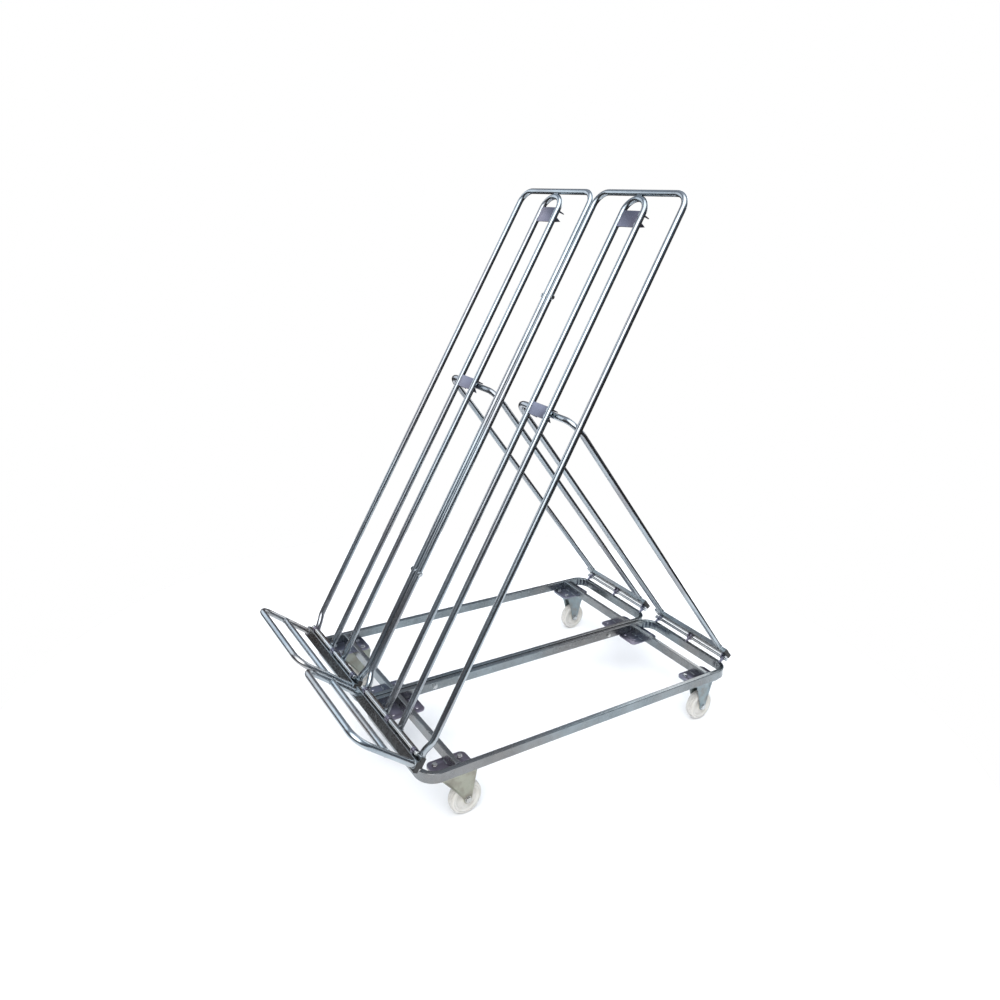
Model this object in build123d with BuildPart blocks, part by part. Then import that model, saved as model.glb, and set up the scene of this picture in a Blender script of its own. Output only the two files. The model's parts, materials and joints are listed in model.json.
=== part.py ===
from build123d import *
import os
from math import acos, asin, atan2, cos, degrees, hypot, radians, sin

# Plant trolley: two equal modules bolted side by side.  Millimetres, +X right, +Y towards the rear,
# +Z up, origin on the floor in the middle of the footprint.
os.makedirs("parts", exist_ok=True)

# ---- driving sizes -------------------------------------------------------------------------
module_width = 400.0        # outside width of one base ring
module_gap = 4.0            # between the two base rings
base_depth = 1194.0         # outside depth of a base ring
base_corner_radius = 55.0   # outside bend radius of the ring
rail_height = 30.0          # rectangular tube of the base
rail_width = 15.0
rail_wall = 1.5
tube_diameter = 19.0        # round tube of back, props and toe frames
tube_wall = 1.5
tube_bend_radius = 45.0     # centreline radius of the bends

cross_front = 112.0         # centre of the front cross-member behind the ring's front face
cross_rear = 1091.0         # centre of the rear cross-member behind the ring's front face

back_angle = 63.9           # back above the horizontal
back_length = 1671.0        # top face of the foot tube to the crossbar's centreline
back_half_width = 190.0     # outer tubes from the module's centre
joggle = 16.0               # the outer tubes step inwards above their feet
joggle_start = 14.0
joggle_run = 32.0
inner_half_width = 44.0     # inner tubes from the module's centre
lower_notch = 1007.0        # notch of the lower catch, along the back from the back's hinge
upper_catch_rise = 2.0      # top of the upper catch above the start of the inner tube's bend
seat_gap = 2.5              # between the seated prop bar and the back's inner tubes

prop_half_width = 142.0
prop_setback = 16.0         # prop tubes' centreline off the prop's hinge axis
prop_hole_at = 963.0        # locking-pin hole along the prop from its hinge
prop_hole_diameter = 6.0

toe_rise = 36.7             # toe frame above the horizontal
toe_length = 206.0          # face of the toe's hinge tube to the outer bar's centreline
toe_inner_bar_at = 98.0
toe_half_width = 184.0

hinge_tube_height = 30.0    # rectangular tubes that carry the hinges
hinge_tube_width = 15.0
hinge_tube_half_length = 185.0
toe_tube_half_length = 194.0
hinge_tube_corner = 2.0     # outside corner radius of the rectangular hinge tubes
prop_foot_height = 40.0
prop_foot_half_length = 170.0
plug_lip = 2.5              # black end plugs
plug_depth = 12.0

rod_diameter = 10.0         # hinge rods
rod_half_length = 170.0
rod_head = 3.0
rod_head_step = 1.5
rod_head_gap = 0.9          # between the upper rod's head and the back's outer tube
lug_radius = 8.0
lug_thickness = 4.0
lug_spread = 158.0          # end lugs from the module's centre
knuckle_step = 6.0          # knuckle beside its lug, centre to centre
rod_fit = 0.05              # radial play of a rod in its knuckles
weld_gap = 0.05             # between round parts that a weld bridges
thread_gap = 0.05           # radial gap of a nut or sleeve on its bolt
stop_gap = 0.4              # between faces that rest on each other as a stop
curved_gap = 0.4            # between round faces that rest on each other

wheel_diameter = 100.0
wheel_width = 30.0
wheel_hub_width = 32.0
wheel_tread_radius = 5.0
sleeve_diameter = 12.0
axle_diameter = 10.0
wheel_fit = 0.07            # radial play of the wheel on its sleeve
fork_inside = 33.0
fork_sheet = 3.0
fork_ahead = 38.0           # swivel fork's crown ahead of its swivel axis
fork_behind = 72.0
bracket_ahead = 28.0        # fixed bracket's legs ahead of their plate's centre
bracket_behind = 30.0
caster_plate_sheet = 3.0
caster_plate_x = 84.0
caster_plate_y = 124.0
caster_plate_corner = 16.0
caster_holes_x = 48.0
caster_holes_y = 80.0
caster_hole_diameter = 9.0
caster_bolt_diameter = 8.0
caster_inset = 48.0         # plate centre from the ring's outside
caster_pad_sheet = 4.0      # plates welded under the base
caster_height = 159.0       # floor to the top of the caster's own plate
caster_trail = 50.0         # front wheels behind their swivel axis
rear_axle_offset = 20.0     # rear wheels behind their plate's centre
race_radius = 24.0
race_depth = 10.0
race_gap = 0.3
kingpin_diameter = 12.0

join_bolt_diameter = 8.0    # bolts that join the modules
base_join_places = (245.0, 975.0)     # behind the ring's front face
back_join_places = (409.0, 1345.0)    # along the back from its hinge
bolt_play = 0.25            # radial play of a bolt in its hole
catch_sheet = 3.0
catch_tip_setback = 38.0    # tooth tips behind the back tubes' centreline
catch_web_forward = 5.5     # web's front face ahead of that centreline
catch_brow = 5.6            # sheet above the notch of a catch

# ---- places worked out from them -----------------------------------------------------------
module_centre = (module_width + module_gap) / 2
rail_top = caster_height + caster_pad_sheet + rail_height
rail_bottom = rail_top - rail_height
tube_radius = tube_diameter / 2
rod_radius = rod_diameter / 2

# hinge axes in a frame whose origin is the ring's front face at the top of the rail
lower_hinge = (-3.0, 14.0)
rear_hinge = (base_depth + 8.0, 12.0)

# the back's own frame: t runs up the back, n forwards and up off it, both from the lower hinge
back_cos = cos(radians(back_angle))
back_sin = sin(radians(back_angle))
foot_tube_t = (8.0, 8.0 + hinge_tube_height)
foot_tube_n = (4.0, 4.0 + hinge_tube_width)
back_n = (foot_tube_n[0] + foot_tube_n[1]) / 2
feet_t = foot_tube_t[1]
crossbar_t = feet_t + back_length
toe_tube_t = (0.0, hinge_tube_height)
toe_tube_n = (foot_tube_n[1] + stop_gap, foot_tube_n[1] + stop_gap + hinge_tube_width)
upper_hinge_t = toe_tube_t[1] + lug_radius + 2.0
upper_hinge_n = back_n + tube_radius + rod_head_gap + rod_radius + rod_head_step
toe_start_t = 17.0
toe_start_n = toe_tube_n[1]


def back_yz(t, n):
    """Place of a point of the back, given along and off it, before the depth is centred."""
    return (lower_hinge[0] + t * back_cos - n * back_sin, lower_hinge[1] + t * back_sin + n * back_cos)


# the prop's bar sits in the lower catch, which gives the prop's length and angle
notch_setback = tube_diameter + seat_gap
seat_n = back_n - notch_setback
seat_y, seat_z = back_yz(lower_notch, seat_n)
prop_reach = hypot(rear_hinge[0] - seat_y, seat_z - rear_hinge[1])
prop_bar_t = (prop_reach**2 - prop_setback**2) ** 0.5
seat_angle = atan2(seat_z - rear_hinge[1], rear_hinge[0] - seat_y)
prop_angle = degrees(seat_angle - asin(prop_setback / prop_reach))
prop_cos = cos(radians(prop_angle))
prop_sin = sin(radians(prop_angle))
prop_foot_t = (-6.0, -6.0 + prop_foot_height)
prop_foot_n = (prop_setback - hinge_tube_width / 2, prop_setback + hinge_tube_width / 2)

toe_cos = cos(radians(toe_rise))
toe_sin = sin(radians(toe_rise))
toe_y, toe_z = back_yz(toe_start_t, toe_start_n)

# the footprint runs from the toe frames' outer bars to the rear hinge lugs
front_end = toe_y - toe_length * toe_cos - tube_radius
rear_end = (
    rear_hinge[0]
    - (prop_foot_t[0] + hinge_tube_corner) * prop_cos
    + (prop_foot_n[1] - hinge_tube_corner) * prop_sin
    + hinge_tube_corner
)
depth_shift = -(front_end + rear_end) / 2


def place(x, y, z):
    """A point given behind the ring's front face and above the rail's top, in the trolley's frame."""
    return (x, y + depth_shift, z + rail_top)


def back_point(x, t, n):
    return place(x, *back_yz(t, n))


def prop_point(x, t, n):
    y = rear_hinge[0] - t * prop_cos + n * prop_sin
    z = rear_hinge[1] + t * prop_sin + n * prop_cos
    return place(x, y, z)


def toe_point(x, t):
    return place(x, toe_y - t * toe_cos, toe_z + t * toe_sin)


def back_face(x, n):
    """Plane along the back: local X is the trolley's X, local Y runs up the back."""
    return Plane(origin=back_point(x, 0, n), x_dir=(1, 0, 0), z_dir=(0, -back_sin, back_cos))


def back_side(x):
    """Plane across the back at x: local X runs up the back, local Y forwards off it."""
    return Plane(origin=back_point(x, 0, 0), x_dir=(0, back_cos, back_sin), z_dir=(1, 0, 0))


def prop_face(x):
    """Plane through the prop's tubes: local X is the trolley's X, local Y runs up the prop."""
    return Plane(origin=prop_point(x, 0, prop_setback), x_dir=(1, 0, 0), z_dir=(0, -prop_sin, -prop_cos))


def prop_side(x):
    """Plane across the prop at x: local X runs up the prop, local Y rearwards off it."""
    return Plane(origin=prop_point(x, 0, 0), x_dir=(0, -prop_cos, prop_sin), z_dir=(-1, 0, 0))


def toe_face(x):
    """Plane through the toe frame's bars: local X is the trolley's X, local Y runs outwards."""
    return Plane(origin=toe_point(x, 0), x_dir=(1, 0, 0), z_dir=(0, -toe_sin, -toe_cos))


def side_at(x):
    """Upright plane at x whose local axes are the depth and height used by place()."""
    return Plane(origin=place(x, 0, 0), x_dir=(0, 1, 0), z_dir=(1, 0, 0))


def save(piece, name):
    piece.part.label = name
    export_step(piece.part, f"parts/{name}.step")


# ---- shared shapes -------------------------------------------------------------------------
def round_tube_profile():
    Circle(tube_radius)
    Circle(tube_radius - tube_wall, mode=Mode.SUBTRACT)


def bent_tube(plane, points):
    """Round tube bent through points given on a plane."""
    with BuildPart() as tube:
        with BuildLine(plane) as route:
            FilletPolyline(*points, radius=tube_bend_radius)
        with BuildSketch(Plane(origin=route.line @ 0, z_dir=route.line % 0)):
            round_tube_profile()
        sweep(path=route.line)
    return tube


def hinge_tube(side_plane, t_range, n_range, half_length):
    """Open-ended rectangular tube lying along X, drawn on a side plane at the module's centre."""
    t_mid = (t_range[0] + t_range[1]) / 2
    n_mid = (n_range[0] + n_range[1]) / 2
    height = t_range[1] - t_range[0]
    width = n_range[1] - n_range[0]
    with BuildPart() as tube:
        with BuildSketch(side_plane):
            with Locations((t_mid, n_mid)):
                RectangleRounded(height, width, hinge_tube_corner)
                Rectangle(height - 2 * rail_wall, width - 2 * rail_wall, mode=Mode.SUBTRACT)
        extrude(amount=half_length, both=True)
    return tube


def end_plugs(side_planes, t_range, n_range, half_length):
    """Pairs of push-in plugs, a lip outside and a hollow spigot in the tube."""
    t_mid = (t_range[0] + t_range[1]) / 2
    n_mid = (n_range[0] + n_range[1]) / 2
    height = t_range[1] - t_range[0]
    width = n_range[1] - n_range[0]
    with BuildPart() as plugs:
        for plane in side_planes:
            for end in (-1, 1):
                face = plane.offset(end * half_length)
                with BuildSketch(face):
                    with Locations((t_mid, n_mid)):
                        RectangleRounded(height, width, hinge_tube_corner)
                extrude(amount=end * plug_lip)
                with BuildSketch(face):
                    with Locations((t_mid, n_mid)):
                        Rectangle(height - 2 * rail_wall, width - 2 * rail_wall)
                        Rectangle(height - 2 * rail_wall - 5, width - 2 * rail_wall - 5, mode=Mode.SUBTRACT)
                extrude(amount=-end * plug_depth)
    return plugs


def lug_row(side_planes, places, centre, foot, bore_radius, relief=None):
    """Lugs round a hinge axis: a ring at centre drawn down to a foot of four corners.
    relief is the section of a tube, as its ranges along both local axes, that the lugs step round."""
    with BuildPart() as lugs:
        for plane in side_planes:
            for x in places:
                with BuildSketch(plane.offset(x)):
                    with Locations(centre):
                        Circle(lug_radius)
                    with BuildLine():
                        Polyline(*foot, close=True)
                    make_face()
                    make_hull()
                    with Locations(centre):
                        Circle(bore_radius, mode=Mode.SUBTRACT)
                    if relief:
                        (low, high), (back, front) = relief
                        with Locations(((low + high) / 2, (back + front) / 2)):
                            Rectangle(high - low, front - back, mode=Mode.SUBTRACT)
                extrude(amount=lug_thickness / 2, both=True)
    return lugs


def hinge_rods(side_planes, centre):
    """Plain rods with a flat head at each end."""
    with BuildPart() as rods:
        for plane in side_planes:
            with BuildSketch(plane):
                with Locations(centre):
                    Circle(rod_radius)
            extrude(amount=rod_half_length, both=True)
            for end in (-1, 1):
                with BuildSketch(plane.offset(end * rod_half_length)):
                    with Locations(centre):
                        Circle(rod_radius + rod_head_step)
                extrude(amount=end * rod_head)
    return rods


def join_bolts(plane, centres, reach, gap):
    """Bolts along X through both modules: hex head, nut, and a washer that fills the gap between them."""
    bolt_radius = join_bolt_diameter / 2
    with BuildPart() as bolts:
        for centre in centres:
            with BuildSketch(plane):
                with Locations(centre):
                    Circle(bolt_radius)
            extrude(amount=reach + 9, both=True)
            with BuildSketch(plane.offset(reach)):
                with Locations(centre):
                    RegularPolygon(7.5, 6)
            extrude(amount=5.5)
            with BuildSketch(plane.offset(-reach)):
                with Locations(centre):
                    RegularPolygon(7.5, 6)
                    Circle(bolt_radius + thread_gap, mode=Mode.SUBTRACT)
            extrude(amount=-6.5)
            with BuildSketch(plane):
                with Locations(centre):
                    Circle(2 * bolt_radius)
                    Circle(bolt_radius + thread_gap, mode=Mode.SUBTRACT)
            extrude(amount=gap / 2 - weld_gap, both=True)
    return bolts


sides = (("left", -module_centre), ("right", module_centre))
centres_x = tuple(x for _, x in sides)
lug_places = (-lug_spread, 0.0, lug_spread)
knuckle_places = (
    -lug_spread + knuckle_step,
    -knuckle_step,
    knuckle_step,
    lug_spread - knuckle_step,
)

# ---- base ----------------------------------------------------------------------------------
join_hole = join_bolt_diameter / 2 + bolt_play
rail_mid = -rail_height / 2

for side, cx in sides:
    inner_face = cx - (module_width / 2 if cx > 0 else -module_width / 2)
    with BuildPart() as base_ring:
        with BuildSketch(Plane(origin=place(cx, base_depth / 2, -rail_height))):
            RectangleRounded(module_width, base_depth, base_corner_radius)
            RectangleRounded(
                module_width - 2 * rail_width,
                base_depth - 2 * rail_width,
                base_corner_radius - rail_width,
                mode=Mode.SUBTRACT,
            )
        extrude(amount=rail_height)
        with BuildSketch(Plane(origin=place(cx, base_depth / 2, -rail_height + rail_wall))):
            RectangleRounded(
                module_width - 2 * rail_wall,
                base_depth - 2 * rail_wall,
                base_corner_radius - rail_wall,
            )
            RectangleRounded(
                module_width - 2 * rail_width + 2 * rail_wall,
                base_depth - 2 * rail_width + 2 * rail_wall,
                base_corner_radius - rail_width + rail_wall,
                mode=Mode.SUBTRACT,
            )
        extrude(amount=rail_height - 2 * rail_wall, mode=Mode.SUBTRACT)
        for depth in base_join_places:
            with BuildSketch(side_at(inner_face)):
                with Locations((depth, rail_mid)):
                    Circle(join_hole)
            extrude(amount=rail_width + 1, both=True, mode=Mode.SUBTRACT)
        # two U bends, butt-welded halfway along the sides
        split(bisect_by=Plane(origin=place(cx, base_depth / 2, 0), z_dir=(0, 1, 0)), keep=Keep.BOTH)
    save(base_ring, f"base_ring_{side}")

for name, depth in (("front", cross_front), ("rear", cross_rear)):
    with BuildPart() as cross_members:
        for cx in centres_x:
            with BuildSketch(side_at(cx)):
                with Locations((depth, rail_mid)):
                    Rectangle(rail_width, rail_height)
                    Rectangle(rail_width - 2 * rail_wall, rail_height - 2 * rail_wall, mode=Mode.SUBTRACT)
            extrude(amount=module_width / 2 - rail_width, both=True)
    save(cross_members, f"{name}_cross_members")

pad_x = module_width / 2 - caster_inset
with BuildPart() as caster_pads:
    for cx in centres_x:
        for depth in (cross_front, cross_rear):
            with BuildSketch(Plane(origin=place(cx, depth, -rail_height))):
                with Locations((-pad_x, 0), (pad_x, 0)):
                    RectangleRounded(caster_plate_x, caster_plate_y, caster_plate_corner)
                    with GridLocations(caster_holes_x, caster_holes_y, 2, 2):
                        Circle(caster_hole_diameter / 2, mode=Mode.SUBTRACT)
            extrude(amount=-caster_pad_sheet)
save(caster_pads, "caster_pads")

upright_sides = tuple(side_at(cx) for cx in centres_x)
front_lugs = lug_row(
    upright_sides,
    lug_places,
    lower_hinge,
    ((2, 0), (13, 0), (13, 1), (2, 1)),
    rod_radius + weld_gap,
)
save(front_lugs, "front_hinge_lugs")
lower_rods = hinge_rods(upright_sides, lower_hinge)
save(lower_rods, "lower_hinge_rods")

rear_foot = base_depth - 13
rear_lugs = lug_row(
    upright_sides,
    lug_places,
    rear_hinge,
    ((rear_foot, 0), (base_depth - 2, 0), (base_depth - 2, 1), (rear_foot, 1)),
    rod_radius + weld_gap,
)
save(rear_lugs, "rear_hinge_lugs")
rear_rods = hinge_rods(upright_sides, rear_hinge)
save(rear_rods, "rear_hinge_rods")

base_reach = module_gap / 2 + rail_width
base_join_centres = [(depth, rail_mid) for depth in base_join_places]
base_bolts = join_bolts(side_at(0), base_join_centres, base_reach, module_gap)
save(base_bolts, "base_join_bolts")

# ---- casters -------------------------------------------------------------------------------
caster_x = module_centre + pad_x
plate_top = -rail_height - caster_pad_sheet
plate_bottom = plate_top - caster_plate_sheet
floor = -rail_top
axle_z = floor + wheel_diameter / 2
front_axle_y = cross_front + caster_trail
rear_axle_y = cross_rear + rear_axle_offset
crown_top = plate_bottom - race_depth - race_gap
crown_bottom = crown_top - fork_sheet
fork_half = fork_inside / 2


def caster_plate(depth, x):
    """Drilled mounting plate of a caster, made in the running part."""
    with BuildSketch(Plane(origin=place(x, depth, plate_bottom))) as plate:
        RectangleRounded(caster_plate_x, caster_plate_y, caster_plate_corner)
        with GridLocations(caster_holes_x, caster_holes_y, 2, 2):
            Circle(caster_hole_diameter / 2, mode=Mode.SUBTRACT)
    extrude(plate.sketch, amount=caster_plate_sheet)


def fork_legs(x, top_points, axle_y):
    """Two sheet legs from a top edge down round the axle, made in the running part."""
    for face in (-fork_half - fork_sheet, fork_half):
        with BuildSketch(side_at(x + face)) as leg:
            with Locations((axle_y, axle_z)):
                Circle(13)
            with BuildLine():
                Polyline(*top_points, close=True)
            make_face()
            make_hull()
            with Locations((axle_y, axle_z)):
                Circle(axle_diameter / 2 + rod_fit, mode=Mode.SUBTRACT)
        extrude(leg.sketch, amount=fork_sheet)


def axle_set(places):
    """Axle bolt, spacer sleeve and nut for each place."""
    reach = fork_half + fork_sheet
    with BuildPart() as axles:
        for x, axle_y in places:
            plane = side_at(x)
            outwards = 1 if x > 0 else -1
            with BuildSketch(plane):
                with Locations((axle_y, axle_z)):
                    Circle(sleeve_diameter / 2)
                    Circle(axle_diameter / 2 + thread_gap, mode=Mode.SUBTRACT)
            extrude(amount=fork_half, both=True)
            with BuildSketch(plane.offset(-outwards * (reach + 8))):
                with Locations((axle_y, axle_z)):
                    Circle(axle_diameter / 2)
            extrude(amount=outwards * (2 * reach + 8))
            with BuildSketch(plane.offset(outwards * reach)):
                with Locations((axle_y, axle_z)):
                    RegularPolygon(9.2, 6)
            extrude(amount=outwards * 6)
            with BuildSketch(plane.offset(-outwards * reach)):
                with Locations((axle_y, axle_z)):
                    RegularPolygon(9.2, 6)
                    Circle(axle_diameter / 2 + thread_gap, mode=Mode.SUBTRACT)
            extrude(amount=-outwards * 7)
    return axles


def wheel(x, axle_y):
    """Solid nylon wheel: crowned tread, dished web with a ring groove, and a raised hub."""
    r = wheel_diameter / 2
    half = wheel_width / 2
    hub = wheel_hub_width / 2
    bore = sleeve_diameter / 2 + wheel_fit
    with BuildPart() as disc:
        with BuildSketch(Plane(origin=place(x, axle_y, axle_z), x_dir=(0, 0, 1), z_dir=(0, -1, 0))):
            with BuildLine():
                Polyline(
                    (bore, -hub),
                    (bore + 8, -hub),
                    (bore + 9, -half + 3),
                    (r - 14, -half + 4),
                    (r - 12, -half),
                    (r - wheel_tread_radius, -half),
                )
                ThreePointArc(
                    (r - wheel_tread_radius, -half),
                    (r, 0),
                    (r - wheel_tread_radius, half),
                )
                Polyline(
                    (r - wheel_tread_radius, half),
                    (r - 12, half),
                    (r - 14, half - 4),
                    (bore + 9, half - 3),
                    (bore + 8, hub),
                    (bore, hub),
                    (bore, -hub),
                )
            make_face()
        revolve(axis=Axis(place(x, axle_y, axle_z), (1, 0, 0)))
    return disc


for side, sign in (("left", -1), ("right", 1)):
    x = sign * caster_x

    with BuildPart() as swivel_plate:
        caster_plate(cross_front, x)
        with BuildSketch(Plane(origin=place(x, cross_front, plate_bottom))):
            Circle(race_radius)
        extrude(amount=-race_depth, taper=12)
        with BuildSketch(Plane(origin=place(x, cross_front, plate_top))):
            Circle(kingpin_diameter / 2)
        extrude(amount=-40, mode=Mode.SUBTRACT)
    save(swivel_plate, f"swivel_plate_{side}")

    top_points = (
        (cross_front - fork_ahead, crown_bottom),
        (cross_front + fork_behind, crown_bottom),
        (cross_front + fork_behind, crown_top),
        (cross_front - fork_ahead, crown_top),
    )
    with BuildPart() as swivel_fork:
        with BuildSketch(Plane(origin=place(x, cross_front, crown_bottom))):
            Circle(race_radius + 3)
            with Locations((0, (fork_behind - fork_ahead) / 2)):
                Rectangle(2 * fork_half, fork_ahead + fork_behind)
            Circle(kingpin_diameter / 2 + rod_fit, mode=Mode.SUBTRACT)
        extrude(amount=fork_sheet)
        fork_legs(x, top_points, front_axle_y)
    save(swivel_fork, f"swivel_fork_{side}")

    save(axle_set([(x, front_axle_y)]), f"front_axle_bolt_{side}")

    with BuildPart() as rear_bracket:
        caster_plate(cross_rear, x)
        rear_top = (
            (cross_rear - bracket_ahead, plate_bottom),
            (cross_rear + bracket_behind, plate_bottom),
            (cross_rear + bracket_behind, plate_top),
            (cross_rear - bracket_ahead, plate_top),
        )
        fork_legs(x, rear_top, rear_axle_y)
    save(rear_bracket, f"rear_caster_bracket_{side}")

    save(wheel(x, front_axle_y), f"front_wheel_{side}")
    save(wheel(x, rear_axle_y), f"rear_wheel_{side}")

save(axle_set([(-caster_x, rear_axle_y), (caster_x, rear_axle_y)]), "rear_axle_bolts")

with BuildPart() as kingpins:
    for x in (-caster_x, caster_x):
        with BuildSketch(Plane(origin=place(x, cross_front, plate_top))):
            Circle(kingpin_diameter / 2)
        extrude(amount=crown_bottom - plate_top - 11)
        with BuildSketch(Plane(origin=place(x, cross_front, crown_bottom - race_gap))):
            RegularPolygon(10.5, 6)
            Circle(kingpin_diameter / 2 + thread_gap, mode=Mode.SUBTRACT)
        extrude(amount=-8)
save(kingpins, "swivel_kingpins")

with BuildPart() as mount_bolts:
    for x in (-caster_x, caster_x):
        for depth in (cross_front, cross_rear):
            pad_top = Plane(origin=place(x, depth, -rail_height))
            nut_face = Plane(origin=place(x, depth, plate_bottom))
            with BuildSketch(pad_top):
                with GridLocations(caster_holes_x, caster_holes_y, 2, 2):
                    RegularPolygon(7.0, 6)
            extrude(amount=5)
            with BuildSketch(pad_top):
                with GridLocations(caster_holes_x, caster_holes_y, 2, 2):
                    Circle(caster_bolt_diameter / 2)
            extrude(amount=plate_bottom + rail_height - 9)
            with BuildSketch(nut_face):
                with GridLocations(caster_holes_x, caster_holes_y, 2, 2):
                    RegularPolygon(7.0, 6)
                    Circle(caster_bolt_diameter / 2 + thread_gap, mode=Mode.SUBTRACT)
            extrude(amount=-6)
save(mount_bolts, "caster_mount_bolts")

# ---- back ----------------------------------------------------------------------------------
back_sides = tuple(back_side(cx) for cx in centres_x)
foot_half = back_half_width - joggle
inner_top = crossbar_t - tube_diameter
bend_start = inner_top - inner_half_width
upper_notch = bend_start + upper_catch_rise - catch_brow - tube_radius - curved_gap
joggle_top = feet_t + joggle_start + joggle_run


def catch(cx, notch, spike, heel):
    """U-bent catch between the inner tubes: a web in front and two toothed cheeks behind."""
    outside = inner_half_width - tube_radius - weld_gap
    bar = tube_radius + curved_gap
    bar_n = back_n - notch_setback
    tip = back_n - catch_tip_setback
    web = back_n + catch_web_forward
    top = notch + bar + catch_brow
    behind = bar_n - spike[1]
    below = notch - spike[0]
    lean = acos(bar / hypot(behind, below)) - atan2(behind, below)
    flank = (notch - bar * cos(lean), bar_n + bar * sin(lean))
    with BuildPart() as piece:
        with BuildSketch(back_side(cx)):
            with BuildLine():
                Polyline(
                    flank,
                    spike,
                    heel,
                    (heel[0], web),
                    (top, web),
                    (top, tip),
                    (top - 3, tip),
                    (notch + bar, bar_n),
                )
                ThreePointArc((notch + bar, bar_n), (notch, bar_n + bar), flank)
            make_face()
        extrude(amount=outside, both=True)
        with BuildSketch(back_side(cx)):
            with Locations(((top + heel[0]) / 2, tip + (web - catch_sheet - tip) / 2 - 50)):
                Rectangle(top - heel[0] + 40, web - catch_sheet - tip + 100)
        extrude(amount=outside - catch_sheet, both=True, mode=Mode.SUBTRACT)
    return piece


for side, cx in sides:
    inwards = -1 if cx > 0 else 1
    with BuildPart() as outer_tube:
        add(
            bent_tube(
                back_face(cx, back_n),
                (
                    (-foot_half, feet_t),
                    (-foot_half, feet_t + joggle_start),
                    (-back_half_width, joggle_top),
                    (-back_half_width, crossbar_t),
                    (back_half_width, crossbar_t),
                    (back_half_width, joggle_top),
                    (foot_half, feet_t + joggle_start),
                    (foot_half, feet_t),
                ),
            ).part
        )
        for t in back_join_places:
            with BuildSketch(back_side(cx + inwards * back_half_width)):
                with Locations((t, back_n)):
                    Circle(join_hole)
            extrude(amount=tube_diameter, both=True, mode=Mode.SUBTRACT)
    save(outer_tube, f"back_outer_tube_{side}")

    with BuildPart() as inner_tube:
        with BuildLine(back_face(cx, back_n)) as route:
            Line((-inner_half_width, feet_t), (-inner_half_width, bend_start))
            ThreePointArc((-inner_half_width, bend_start), (0, inner_top), (inner_half_width, bend_start))
            Line((inner_half_width, bend_start), (inner_half_width, feet_t))
        with BuildSketch(Plane(origin=route.line @ 0, z_dir=route.line % 0)):
            round_tube_profile()
        sweep(path=route.line)
    save(inner_tube, f"back_inner_tube_{side}")

    foot_tube = hinge_tube(back_side(cx), foot_tube_t, foot_tube_n, hinge_tube_half_length)
    save(foot_tube, f"back_foot_tube_{side}")

    spike_low = (lower_notch - 23.0, back_n - 31.5)
    save(catch(cx, lower_notch, spike_low, (spike_low[0], back_n - 10)), f"lower_catch_{side}")
    spike_up = (upper_notch - 14.0, back_n - catch_tip_setback)
    save(catch(cx, upper_notch, spike_up, (upper_notch - 37.5, back_n)), f"upper_catch_{side}")

save(end_plugs(back_sides, foot_tube_t, foot_tube_n, hinge_tube_half_length), "back_foot_plugs")

knuckle_foot = (
    (foot_tube_t[0], foot_tube_n[0] + 1),
    (foot_tube_t[0], foot_tube_n[1] - 1),
    (foot_tube_t[0] - 1, foot_tube_n[1] - 1),
    (foot_tube_t[0] - 1, foot_tube_n[0] + 1),
)
save(lug_row(back_sides, knuckle_places, (0, 0), knuckle_foot, rod_radius + rod_fit), "back_hinge_knuckles")

upper_hinge = (upper_hinge_t, upper_hinge_n)
toe_lug_foot = (
    (feet_t, foot_tube_n[0] + 3),
    (feet_t, foot_tube_n[1]),
    (feet_t + 1, foot_tube_n[1]),
    (feet_t + 1, foot_tube_n[0] + 3),
)
save(
    lug_row(
        back_sides,
        lug_places,
        upper_hinge,
        toe_lug_foot,
        rod_radius + weld_gap,
        relief=(foot_tube_t, foot_tube_n),
    ),
    "toe_hinge_lugs",
)
save(hinge_rods(back_sides, upper_hinge), "upper_hinge_rods")

back_gap = 2 * (module_centre - back_half_width) - tube_diameter
back_reach = back_gap / 2 + tube_diameter
back_bolts = join_bolts(back_side(0), [(t, back_n) for t in back_join_places], back_reach, back_gap)
save(back_bolts, "back_join_bolts")

# ---- props ---------------------------------------------------------------------------------
prop_feet = prop_foot_t[1]
prop_knuckle_foot = (
    (prop_foot_t[0] + 1, prop_foot_n[0]),
    (12, prop_foot_n[0]),
    (12, prop_foot_n[0] - 1),
    (prop_foot_t[0] + 1, prop_foot_n[0] - 1),
)
for side, cx in sides:
    with BuildPart() as prop_tube:
        add(
            bent_tube(
                prop_face(cx),
                (
                    (-prop_half_width, prop_feet),
                    (-prop_half_width, prop_bar_t),
                    (prop_half_width, prop_bar_t),
                    (prop_half_width, prop_feet),
                ),
            ).part
        )
        with BuildSketch(prop_side(cx + prop_half_width)):
            with Locations((prop_hole_at, prop_setback)):
                Circle(prop_hole_diameter / 2)
        extrude(amount=tube_diameter, both=True, mode=Mode.SUBTRACT)
    save(prop_tube, f"prop_tube_{side}")
    here = (prop_side(cx),)
    prop_foot = hinge_tube(here[0], prop_foot_t, prop_foot_n, prop_foot_half_length)
    save(prop_foot, f"prop_foot_tube_{side}")
    prop_plugs = end_plugs(here, prop_foot_t, prop_foot_n, prop_foot_half_length)
    save(prop_plugs, f"prop_foot_plugs_{side}")
    prop_knuckles = lug_row(here, knuckle_places, (0, 0), prop_knuckle_foot, rod_radius + rod_fit)
    save(prop_knuckles, f"prop_knuckles_{side}")

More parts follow.
